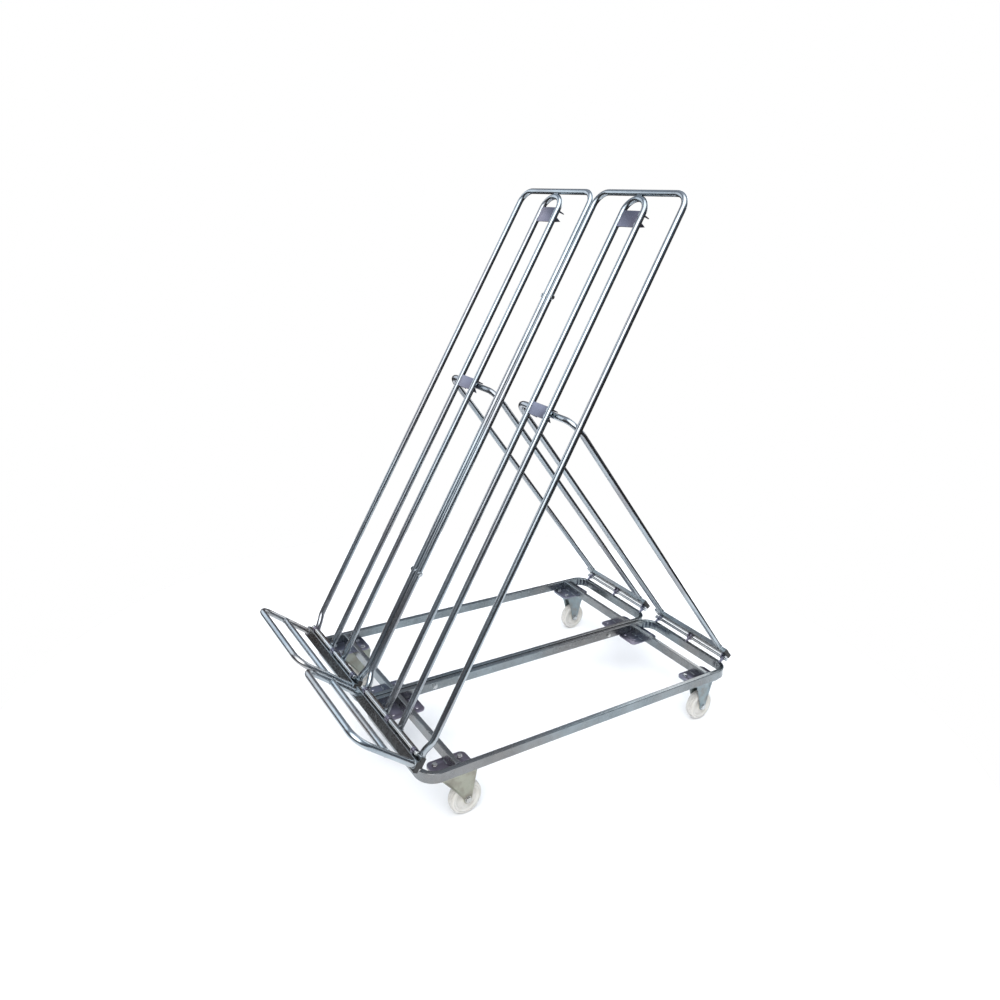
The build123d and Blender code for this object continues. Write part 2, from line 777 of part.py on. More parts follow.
# ---- toe frames ----------------------------------------------------------------------------
toe_knuckle_foot = (
    (toe_tube_t[1], toe_tube_n[0] + 1),
    (toe_tube_t[1], toe_tube_n[1] - 2),
    (toe_tube_t[1] + 1, toe_tube_n[1] - 2),
    (toe_tube_t[1] + 1, toe_tube_n[0] + 1),
)
for side, cx in sides:
    with BuildPart() as toe_outer:
        add(
            bent_tube(
                toe_face(cx),
                (
                    (-toe_half_width, -6),
                    (-toe_half_width, toe_length),
                    (toe_half_width, toe_length),
                    (toe_half_width, -6),
                ),
            ).part
        )
        split(bisect_by=back_face(cx, toe_start_n), keep=Keep.TOP)
    save(toe_outer, f"toe_outer_bar_{side}")

    with BuildPart() as toe_inner:
        with BuildSketch(side_at(cx)):
            with Locations((toe_y - toe_inner_bar_at * toe_cos, toe_z + toe_inner_bar_at * toe_sin)):
                round_tube_profile()
        extrude(amount=toe_half_width, both=True)
        for x in (-toe_half_width, toe_half_width):
            arm = Plane(origin=toe_point(cx + x, 0), x_dir=(1, 0, 0), z_dir=(0, -toe_cos, toe_sin))
            with BuildSketch(arm):
                Circle(tube_radius)
            extrude(amount=toe_length, mode=Mode.SUBTRACT)
    save(toe_inner, f"toe_inner_bar_{side}")

    here = (back_side(cx),)
    toe_hinge_tube = hinge_tube(here[0], toe_tube_t, toe_tube_n, toe_tube_half_length)
    save(toe_hinge_tube, f"toe_hinge_tube_{side}")
    save(end_plugs(here, toe_tube_t, toe_tube_n, toe_tube_half_length), f"toe_tube_plugs_{side}")
    toe_knuckles = lug_row(here, knuckle_places, upper_hinge, toe_knuckle_foot, rod_radius + rod_fit)
    save(toe_knuckles, f"toe_knuckles_{side}")
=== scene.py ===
import json
import math

import bmesh
import bpy
from bpy.props import FloatProperty, FloatVectorProperty, PointerProperty
from mathutils import Matrix, Vector, noise

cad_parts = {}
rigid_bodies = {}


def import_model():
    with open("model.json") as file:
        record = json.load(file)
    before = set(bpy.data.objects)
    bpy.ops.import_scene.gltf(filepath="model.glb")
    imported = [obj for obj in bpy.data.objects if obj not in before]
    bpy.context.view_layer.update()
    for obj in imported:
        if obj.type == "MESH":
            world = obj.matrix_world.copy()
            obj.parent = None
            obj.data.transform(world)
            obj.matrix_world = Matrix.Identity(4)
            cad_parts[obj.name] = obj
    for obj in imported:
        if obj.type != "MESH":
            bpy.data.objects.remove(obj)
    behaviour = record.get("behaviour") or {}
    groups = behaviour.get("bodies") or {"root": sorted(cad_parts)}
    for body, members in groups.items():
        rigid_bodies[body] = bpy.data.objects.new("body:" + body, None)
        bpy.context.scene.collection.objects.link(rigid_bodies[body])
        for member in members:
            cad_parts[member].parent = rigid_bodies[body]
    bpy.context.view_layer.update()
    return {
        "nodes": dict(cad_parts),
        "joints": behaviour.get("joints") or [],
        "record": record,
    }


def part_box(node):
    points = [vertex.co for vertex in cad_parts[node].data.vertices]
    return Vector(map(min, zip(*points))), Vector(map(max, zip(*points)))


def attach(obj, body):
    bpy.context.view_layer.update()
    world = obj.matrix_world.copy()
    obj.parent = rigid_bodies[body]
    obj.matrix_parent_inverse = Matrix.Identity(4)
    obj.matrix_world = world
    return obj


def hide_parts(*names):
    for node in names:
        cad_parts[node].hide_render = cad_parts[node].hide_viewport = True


bl_info = {
    "name": "Plant trolley",
    "version": (1, 0, 0),
    "blender": (4, 5, 0),
    "location": "View3D > Sidebar > Trolley",
    "description": "Dresses a two-module tubular plant trolley: plating, welds, casters, bolts and studio",
    "category": "Add Mesh",
}

for spare in list(bpy.data.objects):
    bpy.data.objects.remove(spare)
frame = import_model()

# ---- places taken from the frame, in metres -----------------------------------------------------
JOINTS = {joint["name"]: joint for joint in frame["joints"]}
SIDES = (("left", -1), ("right", 1))
MODULE_X = abs(JOINTS["prop_left_hinge"]["pos_m"][0])
CASTER_X = abs(JOINTS["swivel_left_turn"]["pos_m"][0])
SWIVEL_Y = JOINTS["swivel_left_turn"]["pos_m"][1]
FRONT_AXLE_Y = JOINTS["front_wheel_left_spin"]["pos_m"][1]
REAR_AXLE_Y = JOINTS["rear_wheel_left_spin"]["pos_m"][1]
AXLE_Z = JOINTS["rear_wheel_left_spin"]["pos_m"][2]
RING_LOW, RING_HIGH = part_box("base_ring_right")
RAIL_TOP = RING_HIGH.z
RAIL_BOTTOM = RING_LOW.z
PLATE_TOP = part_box("swivel_plate_left")[1].z
REAR_PLATE_Y = sum(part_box("rear_caster_bracket_left")[i].y for i in (0, 1)) / 2

# ---- sizes shared by several pieces, in metres --------------------------------------------------
RAIL_WIDTH = 0.015
RING_RADIUS = 0.055
TUBE = 0.0095
PAD_SHEET = 0.004
PLATE_SHEET = 0.003
FORK_INSIDE = 0.0165
FORK_SHEET = 0.003
BOLT = 0.004
AXLE = 0.005
AXLE_HEX = 0.0092
AXLE_TAIL = 0.008
SLEEVE = 0.006
CASTER_HEX = 0.007
CASTER_BOLT_X = 0.024
CASTER_BOLT_Y = 0.04
CASTER_CORNER = 0.016
KINGPIN = 0.006
KINGPIN_HEX = 0.0105
JOIN_HEX = 0.0075
JOIN_HEAD = 0.0055
JOIN_NUT = 0.0065
BOLT_TAIL = 0.009
SPACER = 0.008
SPACER_BORE = 0.00405
FACE_GAP = 0.00005
BASE_JOIN_Y = (0.245, 0.975)
BACK_JOIN_T = (0.409, 1.345)
LUG_PLACES = (-0.158, 0.0, 0.158)
KNUCKLE_PLACES = (-0.152, -0.006, 0.006, 0.152)
LUG_HALF = 0.002


class Slope:
    """A hinged frame seen from its hinge: t runs up the slope and n stands off it."""

    def __init__(self, origin, up, off):
        self.origin = Vector(origin)
        self.up = Vector(up)
        self.off = Vector(off)

    def at(self, x, t, n):
        place = self.origin + self.up * t + self.off * n
        return Vector((x, place.y, place.z))


def sloped(origin, degrees, forwards):
    """A slope at an angle above the floor that leans towards the rear (forwards 1) or the front (-1)."""
    c, s = math.cos(math.radians(degrees)), math.sin(math.radians(degrees))
    return Slope(origin, (0, forwards * c, s), (0, -forwards * s, c))


BACK_ANGLE = 63.9
PROP_ANGLE = 49.36
TOE_ANGLE = 36.7
BACK = sloped(JOINTS["back_hinge"]["pos_m"], BACK_ANGLE, 1)
PROP = sloped(JOINTS["prop_left_hinge"]["pos_m"], PROP_ANGLE, -1)
TOE = sloped(BACK.at(0, 0.017, 0.0344), TOE_ANGLE, -1)
BACK_N = 0.0115
FEET_T = 0.038
CROSSBAR_T = 1.709
PROP_N = 0.016
PROP_FEET_T = 0.034


# ---- settings -----------------------------------------------------------------------------------
def length(label, words, value):
    return FloatProperty(
        name=label, description=words, default=value, min=0.0, subtype="DISTANCE", unit="LENGTH"
    )


def colour(label, words, value):
    return FloatVectorProperty(
        name=label, description=words, default=value, min=0.0, max=1.0, size=3, subtype="COLOR"
    )


class TrolleySizes(bpy.types.PropertyGroup):
    """Sizes of the details that the dressing adds."""

    rail_corner: length("Rail corner", "Outside corner radius of the rectangular tube", 0.0022)
    wrinkle: length("Bend wrinkle", "Height of the wrinkles inside the ring's bends", 0.0011)
    bend_sink: length("Bend sink", "How far the outside of a bend is drawn in", 0.0014)
    weld: length("Weld bead", "Radius of a weld bead", 0.0015)
    edge_break: length("Edge break", "Rounding of sheet edges", 0.0004)
    wheel_radius: length("Wheel radius", "Radius of the nylon wheels", 0.05)
    wheel_half: length("Wheel half width", "Half the width of a wheel's tread", 0.015)
    flare: length("Fork flare", "How far a fork leg's edges turn outwards", 0.0036)
    floor_radius: length("Floor radius", "Radius of the studio floor", 1.6)


class TrolleyColours(bpy.types.PropertyGroup):
    """Colours of the trolley's finishes and the studio."""

    zinc: colour("Zinc", "Clean bright zinc plate", (0.38, 0.425, 0.455))
    zinc_shade: colour("Zinc shade", "Darker clouds in the plate", (0.16, 0.20, 0.235))
    zinc_warm: colour("Zinc warmth", "Pinkish brown passivation tint", (0.25, 0.22, 0.22))
    rail: colour("Rail zinc", "Slate grey plate of the base rails", (0.25, 0.29, 0.31))
    rail_shade: colour("Rail shade", "Darker clouds in the rails' plate", (0.10, 0.125, 0.135))
    olive: colour("Olive zinc", "Yellowish passivated caster sheet", (0.31, 0.33, 0.29))
    blue: colour("Blue zinc", "Bluish passivated caster sheet", (0.25, 0.31, 0.33))
    nylon: colour("Nylon", "Natural nylon of the wheels", (0.66, 0.64, 0.60))
    grime: colour("Grime", "Floor dirt on treads and low sheet", (0.23, 0.20, 0.17))
    plug: colour("Plug", "Black plastic of the tube plugs", (0.012, 0.012, 0.013))
    floor: colour("Floor", "Studio floor", (0.88, 0.88, 0.88))


def sizes():
    return bpy.context.scene.trolley_sizes


def colours():
    return bpy.context.scene.trolley_colours


# ---- shader expressions -------------------------------------------------------------------------
class Value:
    """A socket in an expression: arithmetic on it adds Math nodes."""

    def __init__(self, shader, socket):
        self.shader = shader
        self.socket = socket

    def math(self, operation, *others):
        return self.shader.node("ShaderNodeMath", {"operation": operation}, dict(enumerate((self, *others))))

    def __add__(self, other):
        return self.math("ADD", other)

    __radd__ = __add__

    def __sub__(self, other):
        return self.math("SUBTRACT", other)

    def __rsub__(self, other):
        return self.shader.node("ShaderNodeMath", {"operation": "SUBTRACT"}, {0: other, 1: self})

    def __mul__(self, other):
        return self.math("MULTIPLY", other)

    __rmul__ = __mul__

    def __pow__(self, other):
        return self.math("POWER", other)

    def between(self, low, high):
        """0 below low and 1 above high, eased in between; low above high turns it round."""
        flip = low > high
        low, high = min(low, high), max(low, high)
        sockets = {"Value": self, "From Min": low, "From Max": high}
        sockets.update({"To Min": float(flip), "To Max": float(not flip)})
        return self.shader.node("ShaderNodeMapRange", {"interpolation_type": "SMOOTHSTEP"}, sockets)


class Shader:
    """The node tree of one finish, or of a world."""

    def __init__(self, name, kind="materials", place="Object"):
        self.material = getattr(bpy.data, kind).new(name)
        self.material.use_nodes = True
        self.tree = self.material.node_tree
        self.tree.nodes.clear()
        self.place = self.node("ShaderNodeTexCoord", out=place)
        parts = self.node("ShaderNodeSeparateXYZ", {}, {"Vector": self.place}, out=None)
        self.x, self.y, self.z = (Value(self, parts.outputs[i]) for i in range(3))

    def node(self, kind, settings=None, sockets=None, out=0):
        """Adds a node: settings first, then sockets; out names the output, None gives the node itself."""
        made = self.tree.nodes.new(kind)
        for key, value in (settings or {}).items():
            setattr(made, key, value)
        for key, value in (sockets or {}).items():
            target = made.inputs[key]
            if isinstance(value, Value):
                self.tree.links.new(value.socket, target)
            else:
                target.default_value = value
        return made if out is None else Value(self, made.outputs[out])

    def noise(self, scale, detail=3.0, place=None, roughness=0.55):
        sockets = {"Vector": place or self.place, "Scale": scale, "Detail": detail, "Roughness": roughness}
        return self.node("ShaderNodeTexNoise", {}, sockets)

    def cells(self, scale, feature="F1", out="Distance", place=None):
        sockets = {"Vector": place or self.place, "Scale": scale}
        return self.node("ShaderNodeTexVoronoi", {"feature": feature}, sockets, out=out)

    def stretched(self, turn, scale):
        """The place turned and stretched, for grain that runs one way."""
        sockets = {"Vector": self.place, "Rotation": turn, "Scale": scale}
        return self.node("ShaderNodeMapping", {}, sockets)

    def blend(self, amount, first, second):
        """Colours mixed by amount."""
        sockets = {0: amount}
        for index, tone in ((6, first), (7, second)):
            sockets[index] = tone if isinstance(tone, Value) else (*tone, 1.0)
        return self.node("ShaderNodeMix", {"data_type": "RGBA"}, sockets, out=2)

    def bump(self, height, strength, distance):
        return self.node(
            "ShaderNodeBump", {}, {"Strength": strength, "Distance": distance, "Height": height}, out="Normal"
        )

    def surface(self, **sockets):
        """The Principled shader and the output; sockets are named with underscores for spaces."""
        named = {key.replace("_", " "): value for key, value in sockets.items()}
        body = self.node("ShaderNodeBsdfPrincipled", {}, named)
        self.node("ShaderNodeOutputMaterial", {}, {"Surface": body}, out=None)
        return self.material


def grime_mask(s, low, high):
    """Dirt that thins out with height and gathers in cloudy spots."""
    return s.z.between(high, low) * s.noise(38.0, 5.0).between(0.42, 0.7)


def plated(name, clean, shade, warm, polish=0.2, mottle=0.5, grain=None, dirt=0.0, relief=0.0001):
    """Electroplated zinc: clouds, spangle, drawing marks along the grain, scratches and dull spots."""
    s = Shader(name)
    clouds = s.noise(7.0, 3.0).between(0.34, 0.68)
    spots = s.noise(46.0, 3.0).between(0.42, 0.74)
    tint = s.noise(3.1, 2.0).between(0.42, 0.66)
    spangle = s.cells(150.0)
    marks = s.noise(1.0, 2.0, s.stretched(*(grain or ((0, 0, 0), (30, 400, 400)))))
    wander = s.blend(0.035, s.place, s.node("ShaderNodeTexNoise", {}, {"Scale": 9.0}, out="Color"))
    lines = s.cells(21.0, "DISTANCE_TO_EDGE", place=wander).between(0.010, 0.002)
    scratches = lines * s.noise(14.0).between(0.5, 0.62)
    chalk = s.noise(17.0, 5.0, roughness=0.65).between(0.63, 0.80)
    tone = s.blend(clouds * (0.3 + mottle * 0.5), clean, shade)
    tone = s.blend(tint * 0.5, tone, warm)
    tone = s.blend(spots * mottle * 0.3, tone, shade)
    tone = s.blend(scratches * 0.6 * mottle, tone, [min(1.0, c * 1.35) for c in clean])
    tone = s.blend(chalk * 0.4 * mottle, tone, (0.55, 0.56, 0.55))
    worn = (chalk * 0.2 + scratches * 0.1) * mottle
    rough = polish + clouds * 0.05 + spots * mottle * 0.12 + marks * 0.04 + worn
    metal = 1.0 - chalk * 0.4 * mottle
    if dirt:
        mask = grime_mask(s, 0.03, 0.3) * dirt
        tone = s.blend(mask, tone, tuple(colours().grime))
        rough = rough + mask * 0.35
        metal = metal - mask * 0.6
    height = (spangle * 0.5 + spots * 0.5 - scratches * 0.4) * mottle + marks * 0.1
    normal = s.bump(height, 0.1 + 0.4 * mottle, relief)
    return s.surface(Base_Color=tone, Roughness=rough, Metallic=metal, Normal=normal)


def nylon(name):
    """Cast nylon: warm white, mould swirl, scuffed and dirty round the tread, in the wheel's own place."""
    s = Shader(name)
    radius = (s.y * s.y + s.z * s.z) ** 0.5
    tread = radius.between(0.0455, 0.0492)
    groove = radius.between(0.0398, 0.0406) * radius.between(0.0416, 0.0408)
    patches = s.noise(55.0, 5.0).between(0.38, 0.66)
    rolled = s.noise(1.0, 4.0, s.stretched((0, 0, 0), (700, 60, 60))).between(0.42, 0.7)
    specks = s.noise(420.0, 2.0).between(0.66, 0.74)
    rings = (radius * 5200.0).math("SINE") * 0.5 + 0.5
    tone = s.blend(s.noise(24.0).between(0.35, 0.7) * 0.5, tuple(colours().nylon), (0.56, 0.54, 0.48))
    tone = s.blend(radius.between(0.019, 0.012) * 0.35, tone, (0.52, 0.50, 0.44))
    tone = s.blend(tread * rolled * 0.6, tone, tuple(colours().grime))
    caught = groove * 0.5 + radius.between(0.0345, 0.0315) * patches * 0.25
    tone = s.blend(caught, tone, tuple(colours().grime))
    tone = s.blend(specks * (tread * 0.6 + 0.12), tone, (0.16, 0.14, 0.12))
    rough = 0.36 + patches * 0.12 + tread * 0.22
    normal = s.bump(rings * 0.25 + patches * 0.5 + specks * tread, 0.16, 0.0004)
    return s.surface(
        Base_Color=tone,
        Roughness=rough,
        Normal=normal,
        Subsurface_Weight=0.12,
        Subsurface_Radius=(0.006, 0.005, 0.004),
        Subsurface_Scale=0.6,
    )


def plug_plastic(name):
    """Moulded black plastic with a fine texture, greyed by rubbing."""
    s = Shader(name)
    grain = s.noise(900.0, 2.0)
    rubbed = s.noise(85.0, 4.0).between(0.52, 0.7)
    tone = s.blend(rubbed * 0.55, tuple(colours().plug), (0.07, 0.07, 0.07))
    rough = 0.42 + rubbed * 0.2 + grain * 0.08
    return s.surface(Base_Color=tone, Roughness=rough, Normal=s.bump(grain + rubbed * 0.5, 0.25, 0.0003))


def back_grain(degrees):
    """Turn and stretch of drawing marks that run up a frame leaning at this angle."""
    return (math.radians(-degrees), 0, 0), (240, 12, 240)


FINISHES = {
    "round_tube": "tube_plate",
    "rectangular_tube": "rail_plate",
    "zinc_sheet": "sheet_plate",
    "bright_zinc": "fastener_plate",
    "olive_zinc": "olive_plate",
    "blue_zinc": "blue_plate",
    "nylon": "wheel_nylon",
    "plug_plastic": "plug_plastic",
}


# ---- mesh helpers -------------------------------------------------------------------------------
class Shells:
    """Closed shells gathered into one piece."""

    def __init__(self):
        self.verts = []
        self.faces = []

    def add(self, verts, faces):
        base = len(self.verts)
        self.verts.extend(verts)
        self.faces.extend(tuple(base + i for i in face) for face in faces)

    def skin(self, rings, loop=False):
        """Joins rings of points one after another; the ends are closed, or the last ring joins the first."""
        count = len(rings[0])
        faces = []
        for i in range(len(rings) - (not loop)):
            a, b = i * count, (i + 1) % len(rings) * count
            faces.extend((a + k, a + (k + 1) % count, b + (k + 1) % count, b + k) for k in range(count))
        if not loop:
            faces.append(tuple(reversed(range(count))))
            faces.append(tuple(range((len(rings) - 1) * count, len(rings) * count)))
        self.add([p for ring in rings for p in ring], faces)

    def turned(self, centre, axis, outline, segments=48, bored=False):
        """Turns an outline of (radius, place along the axis); a bored one is a closed outline."""
        axis = Vector(axis).normalized()
        side = axis.orthogonal().normalized()
        over = axis.cross(side)
        angles = [2 * math.pi * k / segments for k in range(segments)]
        spokes = [side * math.cos(a) + over * math.sin(a) for a in angles]
        if bored:
            self.skin([[centre + spoke * r + axis * h for r, h in outline] for spoke in spokes], loop=True)
        else:
            self.skin([[centre + spoke * r + axis * h for spoke in spokes] for r, h in outline])

    def hexagon(self, centre, axis, corner, height, bore=0.0, domed=True):
        """Hexagonal head or nut with the curved chamfer that a lathe leaves on its corners."""
        axis = Vector(axis).normalized()
        side = axis.orthogonal().normalized()
        over = axis.cross(side)
        flat = corner * math.cos(math.pi / 6)
        around = []
        for k in range(48):
            a = 2 * math.pi * k / 48
            reach = flat / math.cos((a + math.pi / 6) % (math.pi / 3) - math.pi / 6)
            around.append((side * math.cos(a) + over * math.sin(a), reach))
        cut = math.tan(math.radians(30))

        def ring(radius_of, height_of):
            return [centre + spoke * radius_of(reach) + axis * height_of(reach) for spoke, reach in around]

        foot = 0.0 if domed else 1.0
        rings = [
            ring(lambda r: flat * 0.94, lambda r: 0.0),
            ring(lambda r: r, lambda r: foot * (r - flat) * cut + height * 0.02),
            ring(lambda r: r, lambda r: height - (r - flat) * cut - height * 0.03),
            ring(lambda r: flat * 0.95, lambda r: height),
        ]
        if bore:
            rings += [
                ring(lambda r: bore * 1.12, lambda r: height),
                ring(lambda r: bore, lambda r: height - bore * 0.12),
                ring(lambda r: bore, lambda r: 0.0),
            ]
            self.skin(rings, loop=True)
        else:
            rings += [ring(lambda r: flat * 0.5, lambda r: height * 0.97)]
            self.skin(rings)

    def stud(self, centre, axis, radius, start, end, threaded=0.0, pitch=0.00125):
        """Plain shank whose last stretch is threaded, with a chamfered tip."""
        way = 1.0 if end > start else -1.0
        outline = [(radius, start)]
        place = end - way * threaded
        while threaded and (end - way * 0.0015 - place) * way > 0:
            outline += [(radius, place), (radius * 0.88, place + way * pitch / 2)]
            place += way * pitch
        outline += [(radius * 0.97, end - way * 0.001), (radius * 0.75, end)]
        self.turned(centre, axis, outline, 28)

    def bead(self, points, radius, loop=False, seed=0.0):
        """Weld bead along points: overlapping ripples, uneven width and rounded ends."""
        path = [Vector(p) for p in points]
        legs = list(zip(path, path[1:] + path[:1])) if loop else list(zip(path, path[1:]))
        total = sum((b - a).length for a, b in legs)
        count = max(6, int(total / (radius * 0.5)))
        stations = []
        for i in range(count + (not loop)):
            walk = total * i / count
            for a, b in legs:
                step = (b - a).length
                if walk <= step + 1e-9:
                    break
                walk -= step
            stations.append(a.lerp(b, min(1.0, walk / max(step, 1e-9))))
        rings = []
        last = len(stations) - 1
        for i, here in enumerate(stations):
            after = stations[(i + 1) % len(stations)] if loop or i < last else here
            before = stations[i - 1] if loop or i else here
            way = (after - before).normalized()
            side = way.orthogonal().normalized()
            over = way.cross(side)
            ripple = 0.86 + 0.16 * abs(math.sin(i * 1.1 + seed))
            swell = 1.0 + 0.22 * noise.noise(here * 160 + Vector((seed, 0, 0)))
            ends = 1.0 if loop else math.sqrt(min(1.0, (min(i, last - i) + 0.35) / 2.5))
            size = radius * ripple * swell * ends
            turns = [k * math.pi / 5 for k in range(10)]
            rings.append([here + (side * math.cos(a) + over * math.sin(a)) * size for a in turns])
        self.skin(rings, loop)

    def sheet(self, grid, thickness):
        """Gives a grid of points its thickness, half on each side, with a closed rim."""
        rows, columns = len(grid), len(grid[0])
        tops, bottoms = [], []
        for i in range(rows):
            for j in range(columns):
                down = grid[min(i + 1, rows - 1)][j] - grid[max(i - 1, 0)][j]
                along = grid[i][min(j + 1, columns - 1)] - grid[i][max(j - 1, 0)]
                normal = down.cross(along).normalized() * thickness / 2
                tops.append(grid[i][j] + normal)
                bottoms.append(grid[i][j] - normal)
        count = rows * columns
        faces = []
        for i in range(rows - 1):
            for j in range(columns - 1):
                a = i * columns + j
                faces.append((a, a + 1, a + columns + 1, a + columns))
                faces.append((count + a, count + a + columns, count + a + columns + 1, count + a + 1))
        rim = [j for j in range(columns)]
        rim += [i * columns + columns - 1 for i in range(1, rows)]
        rim += [(rows - 1) * columns + j for j in range(columns - 2, -1, -1)]
        rim += [i * columns for i in range(rows - 2, 0, -1)]
        for a, b in zip(rim, rim[1:] + rim[:1]):
            faces.append((b, a, count + a, count + b))
        self.add(tops + bottoms, faces)

    def slab(self, low, high, corner, segments=6):
        """Flat plate with rounded corners between two corners of a box."""
        rings = []
        for z in (low.z, high.z):
            ring = []
            for sx, sy, start in ((1, 1, 0), (-1, 1, 90), (-1, -1, 180), (1, -1, 270)):
                cx = (high.x if sx > 0 else low.x) - sx * corner
                cy = (high.y if sy > 0 else low.y) - sy * corner
                for k in range(segments + 1):
                    a = math.radians(start + 90 * k / segments)
                    ring.append(Vector((cx + corner * math.cos(a), cy + corner * math.sin(a), z)))
            rings.append(ring)
        self.skin(rings)


def ride(piece, body, nodes=()):
    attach(piece, body)
    if nodes:
        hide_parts(*nodes)


def settle(bm, edge_break, sharp):
    """Faces outwards, then rounds the edges that turn more than the sharp angle."""
    bmesh.ops.recalc_face_normals(bm, faces=bm.faces[:])
    if edge_break:
        edges = [e for e in bm.edges if len(e.link_faces) == 2 and e.calc_face_angle() > sharp]
        bmesh.ops.bevel(
            bm, geom=edges, offset=edge_break, offset_type="OFFSET", segments=2, profile=0.6,
            affect="EDGES", clamp_overlap=True,
        )


def piece(name, shells, body, slot_name, nodes=(), finish=None, edge_break=0.0, sharp=38.0, origin=None):
    """Makes a shaded piece of the gathered shells and lets it ride on its body."""
    bm = bmesh.new()
    made = [bm.verts.new(p - origin if origin else p) for p in shells.verts]
    for face in shells.faces:
        bm.faces.new([made[i] for i in face])
    settle(bm, edge_break, math.radians(50))
    return placed(name, bm, body, slot_name, nodes, finish, sharp, origin)


def placed(name, bm, body, slot_name, nodes, finish, sharp, origin=None):
    mesh = bpy.data.meshes.new(name)
    bm.to_mesh(mesh)
    bm.free()
    mesh.shade_smooth()
    mesh.set_sharp_from_angle(angle=math.radians(sharp))
    made = bpy.data.objects.new(name, mesh)
    bpy.context.scene.collection.objects.link(made)
    if origin:
        made.location = origin
    mesh.materials.append(bpy.data.materials[finish or FINISHES[slot_name]])
    ride(made, body, nodes)
    return made


def body_of(node):
    return next(b for b, nodes in frame["record"]["behaviour"]["bodies"].items() if node in nodes)


def slot_of(node):
    return next(part["material_slot"] for part in frame["record"]["subparts"] if part["node"] == node)


def broken_edges(node, name, edge_break):
    """A copy of a CAD node, welded into one skin, with its sharp edges rounded."""
    bm = bmesh.new()
    bm.from_mesh(frame["nodes"][node].data)
    bmesh.ops.remove_doubles(bm, verts=bm.verts[:], dist=2e-6)
    bmesh.ops.dissolve_limit(
        bm, angle_limit=math.radians(0.4), verts=bm.verts[:], edges=bm.edges[:], delimit={"NORMAL"}
    )
    settle(bm, edge_break, math.radians(30))
    return placed(name, bm, body_of(node), slot_of(node), (node,), None, 40.0)


def dress(node, finish=None):
    """Puts a finish on a CAD node that keeps its shape."""
    data = frame["nodes"][node].data
    data.materials.clear()
    data.materials.append(bpy.data.materials[finish or FINISHES[slot_of(node)]])


def circle(centre, side, over, radius, count=28):
    steps = (2 * math.pi * k / count for k in range(count))
    return [centre + side * (radius * math.cos(a)) + over * (radius * math.sin(a)) for a in steps]


# ---- finishes -----------------------------------------------------------------------------------
class TROLLEY_OT_finishes(bpy.types.Operator):
    """Make the plated, nylon and plastic finishes"""

    bl_idname = "trolley.finishes"
    bl_label = "Finishes"
    bl_options = {"REGISTER", "UNDO"}

    def execute(self, context):
        c = colours()
        zinc, shade, warm = tuple(c.zinc), tuple(c.zinc_shade), tuple(c.zinc_warm)
        rail, rail_shade = tuple(c.rail), tuple(c.rail_shade)
        along = ((0, 0, 0), (200, 16, 400))
        plated("tube_plate", zinc, shade, warm, 0.18, 0.12, back_grain(BACK_ANGLE), relief=0.00003)
        plated("prop_plate", zinc, shade, warm, 0.18, 0.12, back_grain(-49.4), relief=0.00003)
        across = ((0, 0, 0), (12, 240, 240))
        plated("toe_plate", zinc, shade, (0.30, 0.24, 0.20), 0.2, 0.25, across, relief=0.00003)
        plated("rail_plate", rail, rail_shade, (0.22, 0.185, 0.165), 0.2, 0.4, along, 0.25, 0.00005)
        sheet, sheet_shade, sheet_warm = (0.21, 0.22, 0.28), (0.11, 0.12, 0.18), (0.26, 0.20, 0.23)
        plated("sheet_plate", sheet, sheet_shade, sheet_warm, 0.3, 0.4, relief=0.00005)
        bright, straw = (0.55, 0.57, 0.58), (0.50, 0.46, 0.40)
        plated("fastener_plate", bright, tuple(1.4 * v for v in shade), straw, 0.2, 0.35)
        plated("weld_plate", tuple(0.8 * v for v in zinc), shade, warm, 0.3, 0.9)
        olive_shade, blue_shade = tuple(0.72 * v for v in c.olive), tuple(0.70 * v for v in c.blue)
        plated("olive_plate", tuple(c.olive), olive_shade, (0.38, 0.37, 0.29), 0.3, 0.6, dirt=0.7)
        plated("blue_plate", tuple(c.blue), blue_shade, (0.34, 0.38, 0.41), 0.28, 0.6, dirt=0.7)
        nylon("wheel_nylon")
        plug_plastic("plug_plastic")
        return {"FINISHED"}


# ---- base ---------------------------------------------------------------------------------------
def rail_section(corner, steps=5):
    """Outline of the rail as (across, up) from its centre, with the corners rounded."""
    half, tall = RAIL_WIDTH / 2, (RAIL_TOP - RAIL_BOTTOM) / 2
    outline = []
    for sx, sy, start in ((1, 1, 0), (-1, 1, 90), (-1, -1, 180), (1, -1, 270)):
        for k in range(steps + 1):
            a = math.radians(start + 90 * k / steps)
            outline.append(
                (sx * (half - corner) + corner * math.cos(a), sy * (tall - corner) + corner * math.sin(a))
            )
    walls = []
    for (x0, y0), (x1, y1) in zip(outline, outline[1:] + outline[:1]):
        walls.append((x0, y0))
        if math.hypot(x1 - x0, y1 - y0) > 0.008:
            walls += [(x0 + (x1 - x0) * k / 6, y0 + (y1 - y0) * k / 6) for k in range(1, 6)]
    return walls


